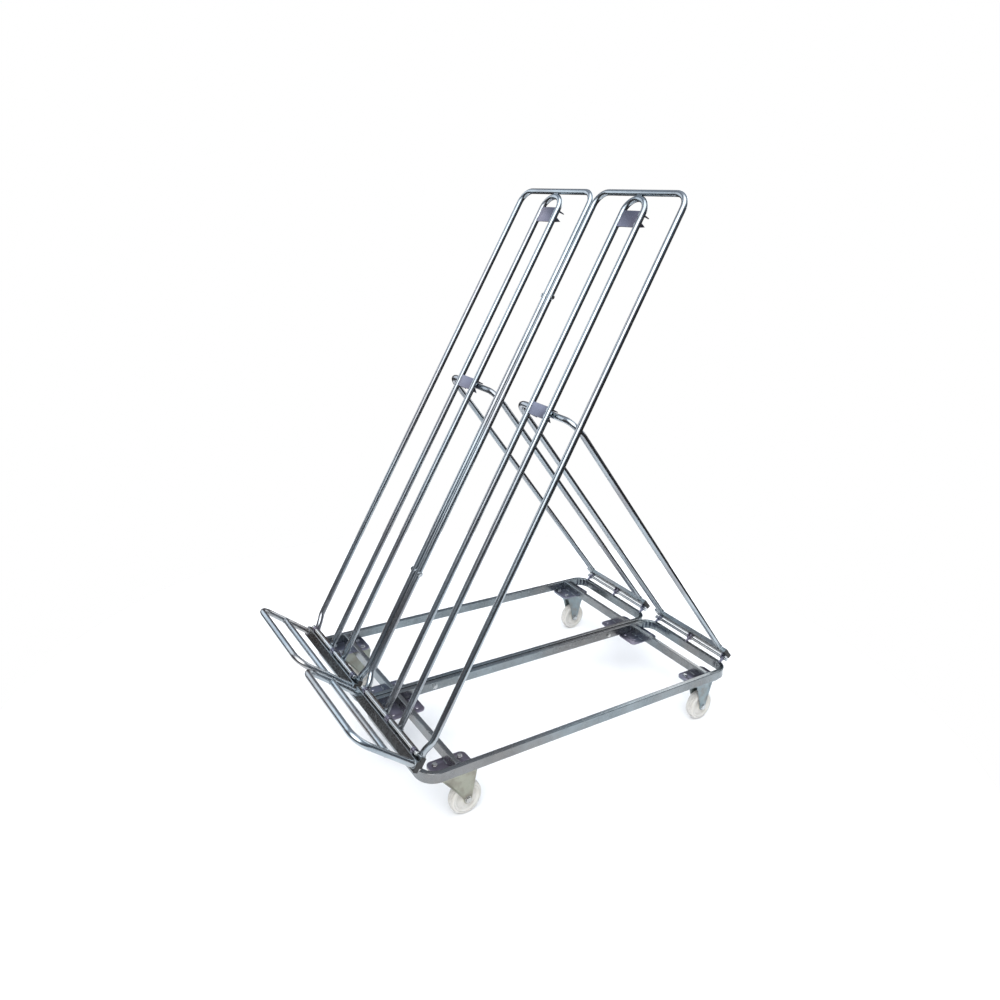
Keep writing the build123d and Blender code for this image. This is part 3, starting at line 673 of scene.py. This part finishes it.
class TROLLEY_OT_base_rings(bpy.types.Operator):
    """Bend the two base rings, wrinkled inside their corners"""

    bl_idname = "trolley.base_rings"
    bl_label = "Base rings"
    bl_options = {"REGISTER", "UNDO"}

    def execute(self, context):
        section = rail_section(sizes().rail_corner)
        mid = (RAIL_TOP + RAIL_BOTTOM) / 2
        tall = (RAIL_TOP - RAIL_BOTTOM) / 2
        reach = RING_RADIUS - RAIL_WIDTH / 2
        steps = 56
        for side, _ in SIDES:
            low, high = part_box(f"base_ring_{side}")
            rings = []
            for sx, sy, start in ((1, 1, 0), (-1, 1, 90), (-1, -1, 180), (1, -1, 270)):
                centre = Vector((
                    (high.x if sx > 0 else low.x) - sx * RING_RADIUS,
                    (high.y if sy > 0 else low.y) - sy * RING_RADIUS,
                    mid,
                ))
                seed = start + (0 if side == "left" else 400)
                for k in range(steps + 1):
                    share = k / steps
                    a = math.radians(start + 90 * share)
                    out = Vector((math.cos(a), math.sin(a), 0))
                    in_bend = math.sin(math.pi * share) ** 0.7 if 0 < share < 1 else 0.0
                    uneven = 1 + 0.5 * noise.noise(Vector((share * 5, seed, 0)))
                    wave = math.sin(share * math.pi * 9 + seed) * in_bend * uneven
                    ring = []
                    for across, up in section:
                        face = max(0.0, 1 - (up / tall) ** 2)
                        if across < -RAIL_WIDTH / 2 + 0.0002:
                            across += sizes().wrinkle * wave * face ** 0.5
                        elif across > RAIL_WIDTH / 2 - 0.0002:
                            across -= sizes().bend_sink * in_bend * face
                        ring.append(centre + out * (reach + across) + Vector((0, 0, up)))
                    rings.append(ring)
            shells = Shells()
            shells.skin(rings, loop=True)
            piece(f"ring_{side}", shells, "base", "rectangular_tube", (f"base_ring_{side}",), sharp=60)
        return {"FINISHED"}


class TROLLEY_OT_cross_members(bpy.types.Operator):
    """Make the base's cross-members"""

    bl_idname = "trolley.cross_members"
    bl_label = "Cross-members"
    bl_options = {"REGISTER", "UNDO"}

    def execute(self, context):
        section = rail_section(sizes().rail_corner)
        for end in ("front", "rear"):
            low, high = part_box(f"{end}_cross_members")
            y = (low.y + high.y) / 2
            z = (low.z + high.z) / 2
            shells = Shells()
            for sign in (-1, 1):
                inner, outer = sign * (2 * MODULE_X - high.x), sign * high.x
                places = [inner + (outer - inner) * k / 8 for k in range(9)]
                shells.skin([[Vector((x, y + across, z + up)) for across, up in section] for x in places])
            nodes = (f"{end}_cross_members",)
            piece(f"cross_members_{end}", shells, "base", "rectangular_tube", nodes, sharp=60)
        return {"FINISHED"}


class TROLLEY_OT_sheet_pieces(bpy.types.Operator):
    """Round the edges of the lugs, knuckles, catches, pads, rods and plugs"""

    bl_idname = "trolley.sheet_pieces"
    bl_label = "Sheet pieces"
    bl_options = {"REGISTER", "UNDO"}

    def execute(self, context):
        fine = sizes().edge_break
        for node, name in (
            ("caster_pads", "pads"),
            ("front_hinge_lugs", "lugs_front"),
            ("rear_hinge_lugs", "lugs_rear"),
            ("back_hinge_knuckles", "knuckles_back"),
            ("toe_hinge_lugs", "lugs_toe"),
            ("lower_hinge_rods", "rods_lower"),
            ("rear_hinge_rods", "rods_rear"),
            ("upper_hinge_rods", "rods_upper"),
        ):
            broken_edges(node, name, fine)
        for side, _ in SIDES:
            broken_edges(f"upper_catch_{side}", f"catch_upper_{side}", fine)
            broken_edges(f"lower_catch_{side}", f"catch_lower_{side}", fine)
            broken_edges(f"prop_knuckles_{side}", f"knuckles_prop_{side}", fine)
            broken_edges(f"toe_knuckles_{side}", f"knuckles_toe_{side}", fine)
            broken_edges(f"prop_foot_plugs_{side}", f"plugs_prop_{side}", 2 * fine)
            broken_edges(f"toe_tube_plugs_{side}", f"plugs_toe_{side}", 2 * fine)
        broken_edges("back_foot_plugs", "plugs_back", 2 * fine)
        return {"FINISHED"}


class TROLLEY_OT_tubes(bpy.types.Operator):
    """Put the plating on the tubes that keep their CAD shape"""

    bl_idname = "trolley.tubes"
    bl_label = "Tubes"
    bl_options = {"REGISTER", "UNDO"}

    def execute(self, context):
        for side, _ in SIDES:
            dress(f"back_outer_tube_{side}")
            dress(f"back_inner_tube_{side}")
            dress(f"prop_tube_{side}", "prop_plate")
            dress(f"toe_outer_bar_{side}", "toe_plate")
            dress(f"toe_inner_bar_{side}", "toe_plate")
            for name in ("back_foot_tube", "prop_foot_tube", "toe_hinge_tube"):
                dress(f"{name}_{side}")
        return {"FINISHED"}


# ---- casters ------------------------------------------------------------------------------------
def fork_grid(x, front_y, back_y, axle_y, top_z, crown_round=0.0, notch=None):
    """Points of a pressed fork's middle surface, from one leg's foot over the crown to the other's.

    The legs reach from front_y to back_y at the top and taper to a round boss at the axle. A notch of
    (height, front_y, back_y) narrows them above that height.
    """
    leg_x = FORK_INSIDE + FORK_SHEET / 2
    bend = 0.006
    boss = 0.013
    crown_z = top_z - FORK_SHEET / 2
    foot = AXLE_Z - boss
    path = []
    for k in range(13):
        share = k / 12
        path.append((-leg_x, foot + 0.0002 + (AXLE_Z - foot) * (1 - math.cos(share * math.pi / 2))))
    for k in range(1, 25):
        path.append((-leg_x, AXLE_Z + (crown_z - bend - AXLE_Z) * k / 24))
    for k in range(1, 7):
        a = math.radians(180 - 90 * k / 6)
        path.append((-leg_x + bend + bend * math.cos(a), crown_z - bend + bend * math.sin(a)))
    path += [((-leg_x + bend) * (1 - k / 4), crown_z) for k in range(1, 5)]
    path += [(-px, pz) for px, pz in reversed(path[:-1])]
    grid = []
    for px, pz in path:
        rise = max(0.0, min(1.0, (pz - AXLE_Z) / (crown_z - bend - AXLE_Z)))
        low = axle_y - boss + (front_y - axle_y + boss) * rise ** 1.15
        high = axle_y + boss + (back_y - axle_y - boss) * rise ** 1.6
        if notch and pz > notch[0]:
            low, high = max(low, notch[1]), min(high, notch[2])
        if pz < AXLE_Z:
            half = math.sqrt(max(0.0, boss**2 - (AXLE_Z - pz) ** 2)) + 0.0004
            low, high = axle_y - half, axle_y + half
        if abs(px) < leg_x - bend * 0.5 and crown_round:
            reach = math.sqrt(max(0.0, crown_round**2 - px**2))
            low, high = min(low, SWIVEL_Y - reach), max(high, SWIVEL_Y + reach)
        row = []
        for j in range(27):
            share = j / 26
            y = low + (high - low) * share
            turn_in = min(share, 1 - share) * (high - low)
            turn = max(0.0, min(1.0, 1 - turn_in / 0.0055))
            upright = max(0.0, min(1.0, (pz - AXLE_Z - 0.006) / 0.03)) if abs(px) > leg_x - 0.001 else 0.0
            flare = sizes().flare * turn * turn * (3 - 2 * turn) * upright
            row.append(Vector((x + px + math.copysign(flare, px), y, pz)))
        grid.append(row)
    return grid


class TROLLEY_OT_casters(bpy.types.Operator):
    """Press the swivel forks and fixed brackets"""

    bl_idname = "trolley.casters"
    bl_label = "Casters"
    bl_options = {"REGISTER", "UNDO"}

    def execute(self, context):
        fine = sizes().edge_break
        for side, sign in SIDES:
            x = sign * CASTER_X
            low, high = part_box(f"swivel_fork_{side}")
            shells = Shells()
            shells.sheet(fork_grid(x, low.y, high.y, FRONT_AXLE_Y, high.z, 0.027), FORK_SHEET)
            nodes = (f"swivel_fork_{side}",)
            piece(f"fork_{side}", shells, f"swivel_{side}", "olive_zinc", nodes, edge_break=fine)

            broken_edges(f"swivel_plate_{side}", f"top_plate_{side}", fine)
            races = Shells()
            middle = Vector((x, SWIVEL_Y, 0))
            under = PLATE_TOP - PLATE_SHEET
            races.turned(
                middle, (0, 0, 1),
                [(0.0205, under - 0.0012), (0.0262, under - 0.0012), (0.0272, under - 0.0024),
                 (0.0272, under - 0.0052), (0.0262, under - 0.0062), (0.0205, under - 0.0062)],
                64, bored=True,
            )
            races.turned(
                middle, (0, 0, 1),
                [(0.0200, under - 0.0070), (0.0246, under - 0.0070), (0.0256, under - 0.0080),
                 (0.0250, under - 0.0095), (0.0200, under - 0.0095)], 64, bored=True,
            )
            piece(f"races_{side}", races, "base", "olive_zinc")

            low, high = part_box(f"rear_caster_bracket_{side}")
            shells = Shells()
            shells.slab(Vector((low.x, low.y, high.z - PLATE_SHEET)), high, CASTER_CORNER)
            top = high.z - PLATE_SHEET
            ahead, behind = REAR_PLATE_Y - 0.028, REAR_PLATE_Y + 0.054
            clear_of_nuts = (top - 0.013, ahead, REAR_PLATE_Y + 0.030)
            shells.sheet(fork_grid(x, ahead, behind, REAR_AXLE_Y, top, notch=clear_of_nuts), FORK_SHEET)
            nodes = (f"rear_caster_bracket_{side}",)
            piece(f"bracket_{side}", shells, "base", "blue_zinc", nodes, edge_break=fine)
        return {"FINISHED"}


class TROLLEY_OT_wheels(bpy.types.Operator):
    """Cast the four nylon wheels"""

    bl_idname = "trolley.wheels"
    bl_label = "Wheels"
    bl_options = {"REGISTER", "UNDO"}

    def execute(self, context):
        r, half = sizes().wheel_radius, sizes().wheel_half
        low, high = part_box("front_wheel_left")
        hub = (high.x - low.x) / 2
        side_face = [
            (0.0062, hub - 0.0006), (0.0068, hub), (0.0122, hub), (0.0130, hub - 0.0005),
            (0.0136, hub - 0.0016), (0.0140, half - 0.0026), (0.0150, half - 0.0034),
            (0.0230, half - 0.0038), (0.0312, half - 0.0036), (0.0330, half - 0.0030),
            (0.0342, half - 0.0014), (0.0352, half - 0.0003), (0.0366, half), (0.0396, half),
            (0.0402, half - 0.0006), (0.0408, half - 0.0006), (0.0414, half), (0.0436, half),
            (0.0452, half - 0.0004), (0.0468, half - 0.0016), (0.0481, half - 0.0036),
            (0.0490, half - 0.0062),
        ]
        outline = list(side_face)
        outline += [(r - 0.00045, half - 0.0092), (r - 0.0001, 0.0035), (r, 0.0), (r - 0.0001, -0.0035)]
        outline += [(r - 0.00045, 0.0092 - half)]
        outline += [(radius, -along) for radius, along in reversed(side_face)]
        for end, axle_y in (("front", FRONT_AXLE_Y), ("rear", REAR_AXLE_Y)):
            for side, sign in SIDES:
                centre = Vector((sign * CASTER_X, axle_y, AXLE_Z))
                shells = Shells()
                shells.turned(centre, (1, 0, 0), outline, 120, bored=True)
                piece(
                    f"wheel_{end}_{side}", shells, f"wheel_{end}_{side}", "nylon", (f"{end}_wheel_{side}",),
                    sharp=44, origin=centre,
                )
        return {"FINISHED"}


# ---- fasteners ----------------------------------------------------------------------------------
def through_bolt(shells, centre, way, reach, corner, head, nut, shank, tail):
    """Bolt through two faces at reach each side of centre: washers, a head, a nut and a threaded tail."""
    axis = Vector(way)
    washer = 0.0012
    for sign in (-1, 1):
        face = centre + axis * sign * reach
        shells.turned(
            face, axis * sign,
            [(shank * 1.06, 0), (corner * 1.12, 0), (corner * 1.12, washer * 0.8), (corner * 1.08, washer),
             (shank * 1.06, washer)], 40, bored=True,
        )
    shells.hexagon(centre + axis * (reach + washer), axis, corner, head - washer)
    under_nut = centre - axis * (reach + washer)
    shells.hexagon(under_nut, -axis, corner, nut - washer, bore=shank * 1.01, domed=False)
    shells.stud(centre, axis, shank, reach, -(reach + tail), threaded=tail)


def sleeve(bore, radius, half):
    """Closed outline of a plain sleeve or washer, for turning."""
    return [(bore, -half), (radius, -half), (radius, half), (bore, half)]


def join(shells, centre, gap, reach):
    """Bolt across the two modules and the washer that fills the gap between them."""
    across = (1, 0, 0)
    through_bolt(
        shells, centre, across, reach,
        corner=JOIN_HEX, head=JOIN_HEAD, nut=JOIN_NUT, shank=BOLT, tail=BOLT_TAIL,
    )
    shells.turned(centre, across, sleeve(SPACER_BORE, SPACER, gap - FACE_GAP), 40, bored=True)


class TROLLEY_OT_fasteners(bpy.types.Operator):
    """Make the axle bolts, caster bolts, kingpins and joining bolts"""

    bl_idname = "trolley.fasteners"
    bl_label = "Fasteners"
    bl_options = {"REGISTER", "UNDO"}

    def axles(self, name, body, places, nodes):
        shells = Shells()
        for x, y in places:
            centre = Vector((x, y, AXLE_Z))
            shells.turned(
                centre, (1, 0, 0),
                sleeve(AXLE + FACE_GAP, SLEEVE, FORK_INSIDE), 40, bored=True,
            )
            way = (math.copysign(1, x), 0, 0)
            through_bolt(
                shells, centre, way, FORK_INSIDE + FORK_SHEET,
                corner=AXLE_HEX, head=0.006, nut=0.007, shank=AXLE, tail=AXLE_TAIL,
            )
        piece(name, shells, body, "bright_zinc", nodes)

    def execute(self, context):
        for side, sign in SIDES:
            self.axles(
                f"axle_front_{side}", f"swivel_{side}", [(sign * CASTER_X, FRONT_AXLE_Y)],
                (f"front_axle_bolt_{side}",),
            )
        self.axles(
            "axles_rear", "base", [(-CASTER_X, REAR_AXLE_Y), (CASTER_X, REAR_AXLE_Y)], ("rear_axle_bolts",)
        )
        shells = Shells()
        under = PLATE_TOP - PLATE_SHEET
        pad_top = PLATE_TOP + PAD_SHEET
        for sign in (-1, 1):
            for y in (SWIVEL_Y, REAR_PLATE_Y):
                for dx in (-CASTER_BOLT_X, CASTER_BOLT_X):
                    for dy in (-CASTER_BOLT_Y, CASTER_BOLT_Y):
                        centre = Vector((sign * CASTER_X + dx, y + dy, (pad_top + under) / 2))
                        reach = (pad_top - under) / 2
                        through_bolt(
                            shells, centre, (0, 0, 1), reach,
                            corner=CASTER_HEX, head=0.005, nut=0.006, shank=BOLT, tail=BOLT_TAIL,
                        )
        piece("caster_bolts", shells, "base", "bright_zinc", ("caster_mount_bolts",))

        pins = Shells()
        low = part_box("swivel_kingpins")[0].z
        crown_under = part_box("swivel_fork_left")[1].z - FORK_SHEET
        for sign in (-1, 1):
            centre = Vector((sign * CASTER_X, SWIVEL_Y, 0))
            pins.stud(centre, (0, 0, 1), KINGPIN, PLATE_TOP, low, threaded=BOLT_TAIL, pitch=0.0015)
            nut_face = centre + Vector((0, 0, crown_under - 0.0003))
            pins.hexagon(nut_face, (0, 0, -1), KINGPIN_HEX, 0.008, bore=1.01 * KINGPIN, domed=False)
        piece("kingpins", pins, "base", "bright_zinc", ("swivel_kingpins",))

        joins = Shells()
        centre_z = (RAIL_TOP + RAIL_BOTTOM) / 2
        for depth in BASE_JOIN_Y:
            centre = Vector((0, RING_LOW.y + depth, centre_z))
            join(joins, centre, RING_LOW.x, RING_LOW.x + RAIL_WIDTH)
        piece("join_bolts_base", joins, "base", "bright_zinc", ("base_join_bolts",))

        joins = Shells()
        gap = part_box("back_outer_tube_right")[0].x
        for t in BACK_JOIN_T:
            centre = BACK.at(0, t, BACK_N)
            join(joins, centre, gap, gap + 2 * TUBE)
        piece("join_bolts_back", joins, "back", "bright_zinc", ("back_join_bolts",))
        return {"FINISHED"}


# ---- welds --------------------------------------------------------------------------------------
def lug_beads(shells, slope_at, places, along, radius):
    """A bead on both sides of each lug's foot; along gives its two ends."""
    for index, x in enumerate(places):
        for sign in (-1, 1):
            ends = [slope_at(x + sign * (LUG_HALF + radius * 0.3), *end) for end in along]
            shells.bead(ends, radius, seed=index + 3.0 * sign)


def foot_bead(shells, slope, x, t, n, seed):
    """A bead round the foot of a round tube that stands on a rectangular one."""
    centre = slope.at(x, t, n)
    shells.bead(circle(centre, Vector((1, 0, 0)), slope.off, TUBE + 0.0006), sizes().weld, True, seed)


class TROLLEY_OT_base_welds(bpy.types.Operator):
    """Weld the cross-members, pads and lugs to the base rings"""

    bl_idname = "trolley.base_welds"
    bl_label = "Base welds"
    bl_options = {"REGISTER", "UNDO"}

    def execute(self, context):
        w = sizes().weld
        shells = Shells()
        half = RAIL_WIDTH / 2
        joint_x = MODULE_X - RING_LOW.x - RAIL_WIDTH
        front_y = RING_LOW.y + 0.0075
        rear_y = RING_HIGH.y - 0.0075
        for sign in (-1, 1):
            cx = sign * MODULE_X
            for y in (SWIVEL_Y, REAR_PLATE_Y):
                for end in (-1, 1):
                    x = cx + end * joint_x
                    corners = [
                        Vector((x, y + sy * half, z))
                        for sy, z in ((-1, RAIL_BOTTOM), (-1, RAIL_TOP), (1, RAIL_TOP), (1, RAIL_BOTTOM))
                    ]
                    shells.bead(corners, w, seed=x * 90)
                    for sy in (-1, 1):
                        for start in (0.118, 0.152):
                            seam_y, seam_z = y + sy * (half + w * 0.3), RAIL_BOTTOM + w * 0.2
                            ends = [Vector((cx + end * (start + dx), seam_y, seam_z)) for dx in (0, 0.022)]
                            shells.bead(ends, w * 1.1, seed=start * 70 + sy)
            front = [cx + place for place in LUG_PLACES]
            lug_beads(
                shells, lambda x, y, z: Vector((x, y, z)), front,
                ((front_y - 0.0055, RAIL_TOP + 0.0003), (front_y + 0.0055, RAIL_TOP + 0.0003)), w * 0.9,
            )
            lug_beads(
                shells, lambda x, y, z: Vector((x, y, z)), front,
                ((rear_y - 0.0055, RAIL_TOP + 0.0003), (rear_y + 0.0055, RAIL_TOP + 0.0003)), w * 0.9,
            )
        piece("welds_base", shells, "base", "rectangular_tube", finish="weld_plate", sharp=70)
        return {"FINISHED"}


class TROLLEY_OT_back_welds(bpy.types.Operator):
    """Weld the backs' feet, crowns, catches, lugs and knuckles"""

    bl_idname = "trolley.back_welds"
    bl_label = "Back welds"
    bl_options = {"REGISTER", "UNDO"}

    def execute(self, context):
        w = sizes().weld
        shells = Shells()
        for sign in (-1, 1):
            cx = sign * MODULE_X
            for x in (-0.174, -0.044, 0.044, 0.174):
                foot_bead(shells, BACK, cx + x, FEET_T + 0.0006, BACK_N, x * 50)
            for n in (-0.0042, 0.0042):
                crown = [
                    BACK.at(cx + x, CROSSBAR_T - TUBE - x * x / 0.09, BACK_N + n)
                    for x in (-0.010, -0.004, 0.004, 0.010)
                ]
                shells.bead(crown, w * 1.35, seed=n * 900)
            for low, high in ((0.987, 1.019), (1.598, 1.644)):
                for end in (-1, 1):
                    x = cx + end * 0.0356
                    for start in (low, high - 0.012):
                        stitch = [BACK.at(x, start + dt, BACK_N + 0.0052) for dt in (0, 0.012)]
                        shells.bead(stitch, w, seed=start * 30 + end)
                        stitch = [BACK.at(x, start + dt, BACK_N - 0.0056) for dt in (0, 0.012)]
                        shells.bead(stitch, w * 0.8, seed=start * 31 + end)
            lug_beads(
                shells, BACK.at, [cx + place for place in KNUCKLE_PLACES],
                ((0.0078, 0.0055), (0.0078, 0.0175)), w * 0.9,
            )
            lug_beads(
                shells, BACK.at, [cx + place for place in LUG_PLACES],
                ((FEET_T + 0.0002, 0.0075), (FEET_T + 0.0002, 0.0185)), w * 0.9,
            )
        piece("welds_back", shells, "back", "round_tube", finish="weld_plate", sharp=70)
        return {"FINISHED"}


class TROLLEY_OT_prop_welds(bpy.types.Operator):
    """Weld the props' feet and knuckles"""

    bl_idname = "trolley.prop_welds"
    bl_label = "Prop welds"
    bl_options = {"REGISTER", "UNDO"}

    def execute(self, context):
        for side, sign in SIDES:
            cx = sign * MODULE_X
            shells = Shells()
            for x in (-0.142, 0.142):
                foot_bead(shells, PROP, cx + x, PROP_FEET_T + 0.0006, PROP_N, x * 60)
            lug_beads(
                shells, PROP.at, [cx + place for place in KNUCKLE_PLACES],
                ((-0.004, 0.0083), (0.011, 0.0083)), sizes().weld * 0.9,
            )
            piece(f"welds_prop_{side}", shells, f"prop_{side}", "round_tube", finish="weld_plate", sharp=70)
        return {"FINISHED"}


class TROLLEY_OT_toe_welds(bpy.types.Operator):
    """Weld the toe frames' arms, inner bars and knuckles"""

    bl_idname = "trolley.toe_welds"
    bl_label = "Toe welds"
    bl_options = {"REGISTER", "UNDO"}

    def execute(self, context):
        w = sizes().weld
        lean = TOE.off.dot(BACK.off) / TOE.up.dot(BACK.off)
        for side, sign in SIDES:
            cx = sign * MODULE_X
            shells = Shells()
            for x in (-0.184, 0.184):
                around = []
                for k in range(28):
                    a = 2 * math.pi * k / 28
                    r = TUBE + 0.0005
                    n = r * math.sin(a)
                    around.append(TOE.at(cx + x + r * math.cos(a), 0.0006 - n * lean, n))
                shells.bead(around, w, True, x * 70)
                inwards = -math.copysign(1, x)
                saddle = []
                for k in range(28):
                    a = 2 * math.pi * k / 28
                    r = TUBE + 0.0004
                    out = math.sqrt(max(0.0, TUBE**2 - (TUBE * math.sin(a)) ** 2)) + 0.0006
                    saddle.append(TOE.at(cx + x + inwards * out, 0.098 + r * math.cos(a), r * math.sin(a)))
                shells.bead(saddle, w * 0.9, True, x * 40)
            lug_beads(
                shells, BACK.at, [cx + place for place in KNUCKLE_PLACES],
                ((0.0302, 0.021), (0.0302, 0.0318)), w * 0.9,
            )
            piece(f"welds_toe_{side}", shells, f"toe_{side}", "round_tube", finish="weld_plate", sharp=70)
        return {"FINISHED"}


# ---- studio -------------------------------------------------------------------------------------
def area_light(name, place, target, power, wide, tall, tone=(1, 1, 1)):
    data = bpy.data.lights.new(name, "AREA")
    data.shape = "RECTANGLE"
    data.size, data.size_y = wide, tall
    data.energy = power
    data.color = tone
    light = bpy.data.objects.new(name, data)
    light.location = place
    light.rotation_mode = "QUATERNION"
    light.rotation_quaternion = (Vector(target) - Vector(place)).to_track_quat("-Z", "Y")
    bpy.context.scene.collection.objects.link(light)


class TROLLEY_OT_studio(bpy.types.Operator):
    """Lay the floor, hang the lights and place the camera"""

    bl_idname = "trolley.studio"
    bl_label = "Studio"
    bl_options = {"REGISTER", "UNDO"}

    def execute(self, context):
        radius = sizes().floor_radius
        mesh = bpy.data.meshes.new("floor")
        turns = [math.pi * k / 48 for k in range(96)]
        ring = [(radius * math.cos(a), radius * math.sin(a), -0.0002) for a in turns]
        mesh.from_pydata(ring, [], [tuple(range(96))])
        floor = bpy.data.objects.new("floor", mesh)
        bpy.context.scene.collection.objects.link(floor)
        s = Shader("floor_paint")
        tone = s.blend(s.noise(1.3, 3.0) * 0.03, tuple(colours().floor), (0.80, 0.80, 0.80))
        mesh.materials.append(s.surface(Base_Color=tone, Roughness=0.85))

        s = Shader("studio", "worlds", "Generated")
        bpy.context.scene.world = s.material
        high = s.z.between(0.05, 0.95)
        tone = s.blend(s.x.between(-0.7, 0.6), (0.12, 0.085, 0.075), (0.085, 0.10, 0.125))
        tone = s.blend(high, tone, (0.55, 0.62, 0.72))
        tone = s.blend(s.z.between(0.02, -0.06), tone, (0.05, 0.045, 0.045))
        glow = s.node("ShaderNodeBackground", {}, {"Color": tone})
        seen = s.node("ShaderNodeBackground", {}, {"Color": (1, 1, 1, 1)})
        rays = s.node("ShaderNodeLightPath", out="Is Camera Ray")
        either = s.node("ShaderNodeMixShader", {}, {0: rays, 1: glow, 2: seen})
        s.node("ShaderNodeOutputWorld", {}, {"Surface": either}, out=None)
        bpy.context.scene.view_settings.view_transform = "Standard"

        sun = bpy.data.lights.new("daylight", "SUN")
        sun.energy = 3.0
        sun.angle = math.radians(74)
        light = bpy.data.objects.new("daylight", sun)
        light.rotation_mode = "QUATERNION"
        light.rotation_quaternion = Vector((-0.35, 0.45, -1)).to_track_quat("-Z", "Y")
        bpy.context.scene.collection.objects.link(light)
        middle = (0, 0, 0.7)
        area_light("key", (2.4, -2.8, 3.0), middle, 64, 3.6, 2.6)
        area_light("fill", (-3.2, -1.6, 2.0), middle, 45, 3.0, 3.0, (0.86, 0.93, 1.0))
        area_light("rim", (-0.6, 3.4, 2.6), middle, 60, 3.6, 2.4)

        azimuth, elevation, roll = (math.radians(v) for v in (55.433, 12.182, 4.168))
        level = math.cos(elevation)
        back = Vector((math.sin(azimuth) * level, -math.cos(azimuth) * level, math.sin(elevation)))
        right = (-back).cross(Vector((0, 0, 1))).normalized()
        up = right.cross(-back)
        across = right * math.cos(roll) + up * math.sin(roll)
        over = up * math.cos(roll) - right * math.sin(roll)
        data = bpy.data.cameras.new("camera")
        data.sensor_width = 36.0
        data.lens = 28.92
        data.shift_x, data.shift_y = -0.0039, -0.1043
        data.clip_start, data.clip_end = 0.01, 100.0
        camera = bpy.data.objects.new("camera", data)
        turn = Matrix((across, over, back)).transposed()
        camera.matrix_world = Matrix.Translation((1.99935, -1.44768, 1.63563)) @ turn.to_4x4()
        bpy.context.scene.collection.objects.link(camera)
        bpy.context.scene.camera = camera
        return {"FINISHED"}


BUILDERS = (
    TROLLEY_OT_finishes,
    TROLLEY_OT_base_rings,
    TROLLEY_OT_cross_members,
    TROLLEY_OT_sheet_pieces,
    TROLLEY_OT_tubes,
    TROLLEY_OT_casters,
    TROLLEY_OT_wheels,
    TROLLEY_OT_fasteners,
    TROLLEY_OT_base_welds,
    TROLLEY_OT_back_welds,
    TROLLEY_OT_prop_welds,
    TROLLEY_OT_toe_welds,
    TROLLEY_OT_studio,
)


class TROLLEY_PT_panel(bpy.types.Panel):
    """Lists the trolley's settings and operators"""

    bl_label = "Plant trolley"
    bl_idname = "TROLLEY_PT_panel"
    bl_space_type = "VIEW_3D"
    bl_region_type = "UI"
    bl_category = "Trolley"

    def draw(self, context):
        for group in (context.scene.trolley_sizes, context.scene.trolley_colours):
            column = self.layout.column(align=True)
            for key in type(group).__annotations__:
                column.prop(group, key)
        for builder in BUILDERS:
            self.layout.operator(builder.bl_idname)


CLASSES = (TrolleySizes, TrolleyColours, *BUILDERS, TROLLEY_PT_panel)


def register():
    for item in CLASSES:
        bpy.utils.register_class(item)
    bpy.types.Scene.trolley_sizes = PointerProperty(type=TrolleySizes)
    bpy.types.Scene.trolley_colours = PointerProperty(type=TrolleyColours)


def unregister():
    del bpy.types.Scene.trolley_sizes
    del bpy.types.Scene.trolley_colours
    for item in reversed(CLASSES):
        bpy.utils.unregister_class(item)


def main():
    register()
    for builder in BUILDERS:
        group, name = builder.bl_idname.split(".")
        getattr(getattr(bpy.ops, group), name)()


if __name__ == "__main__":
    main()
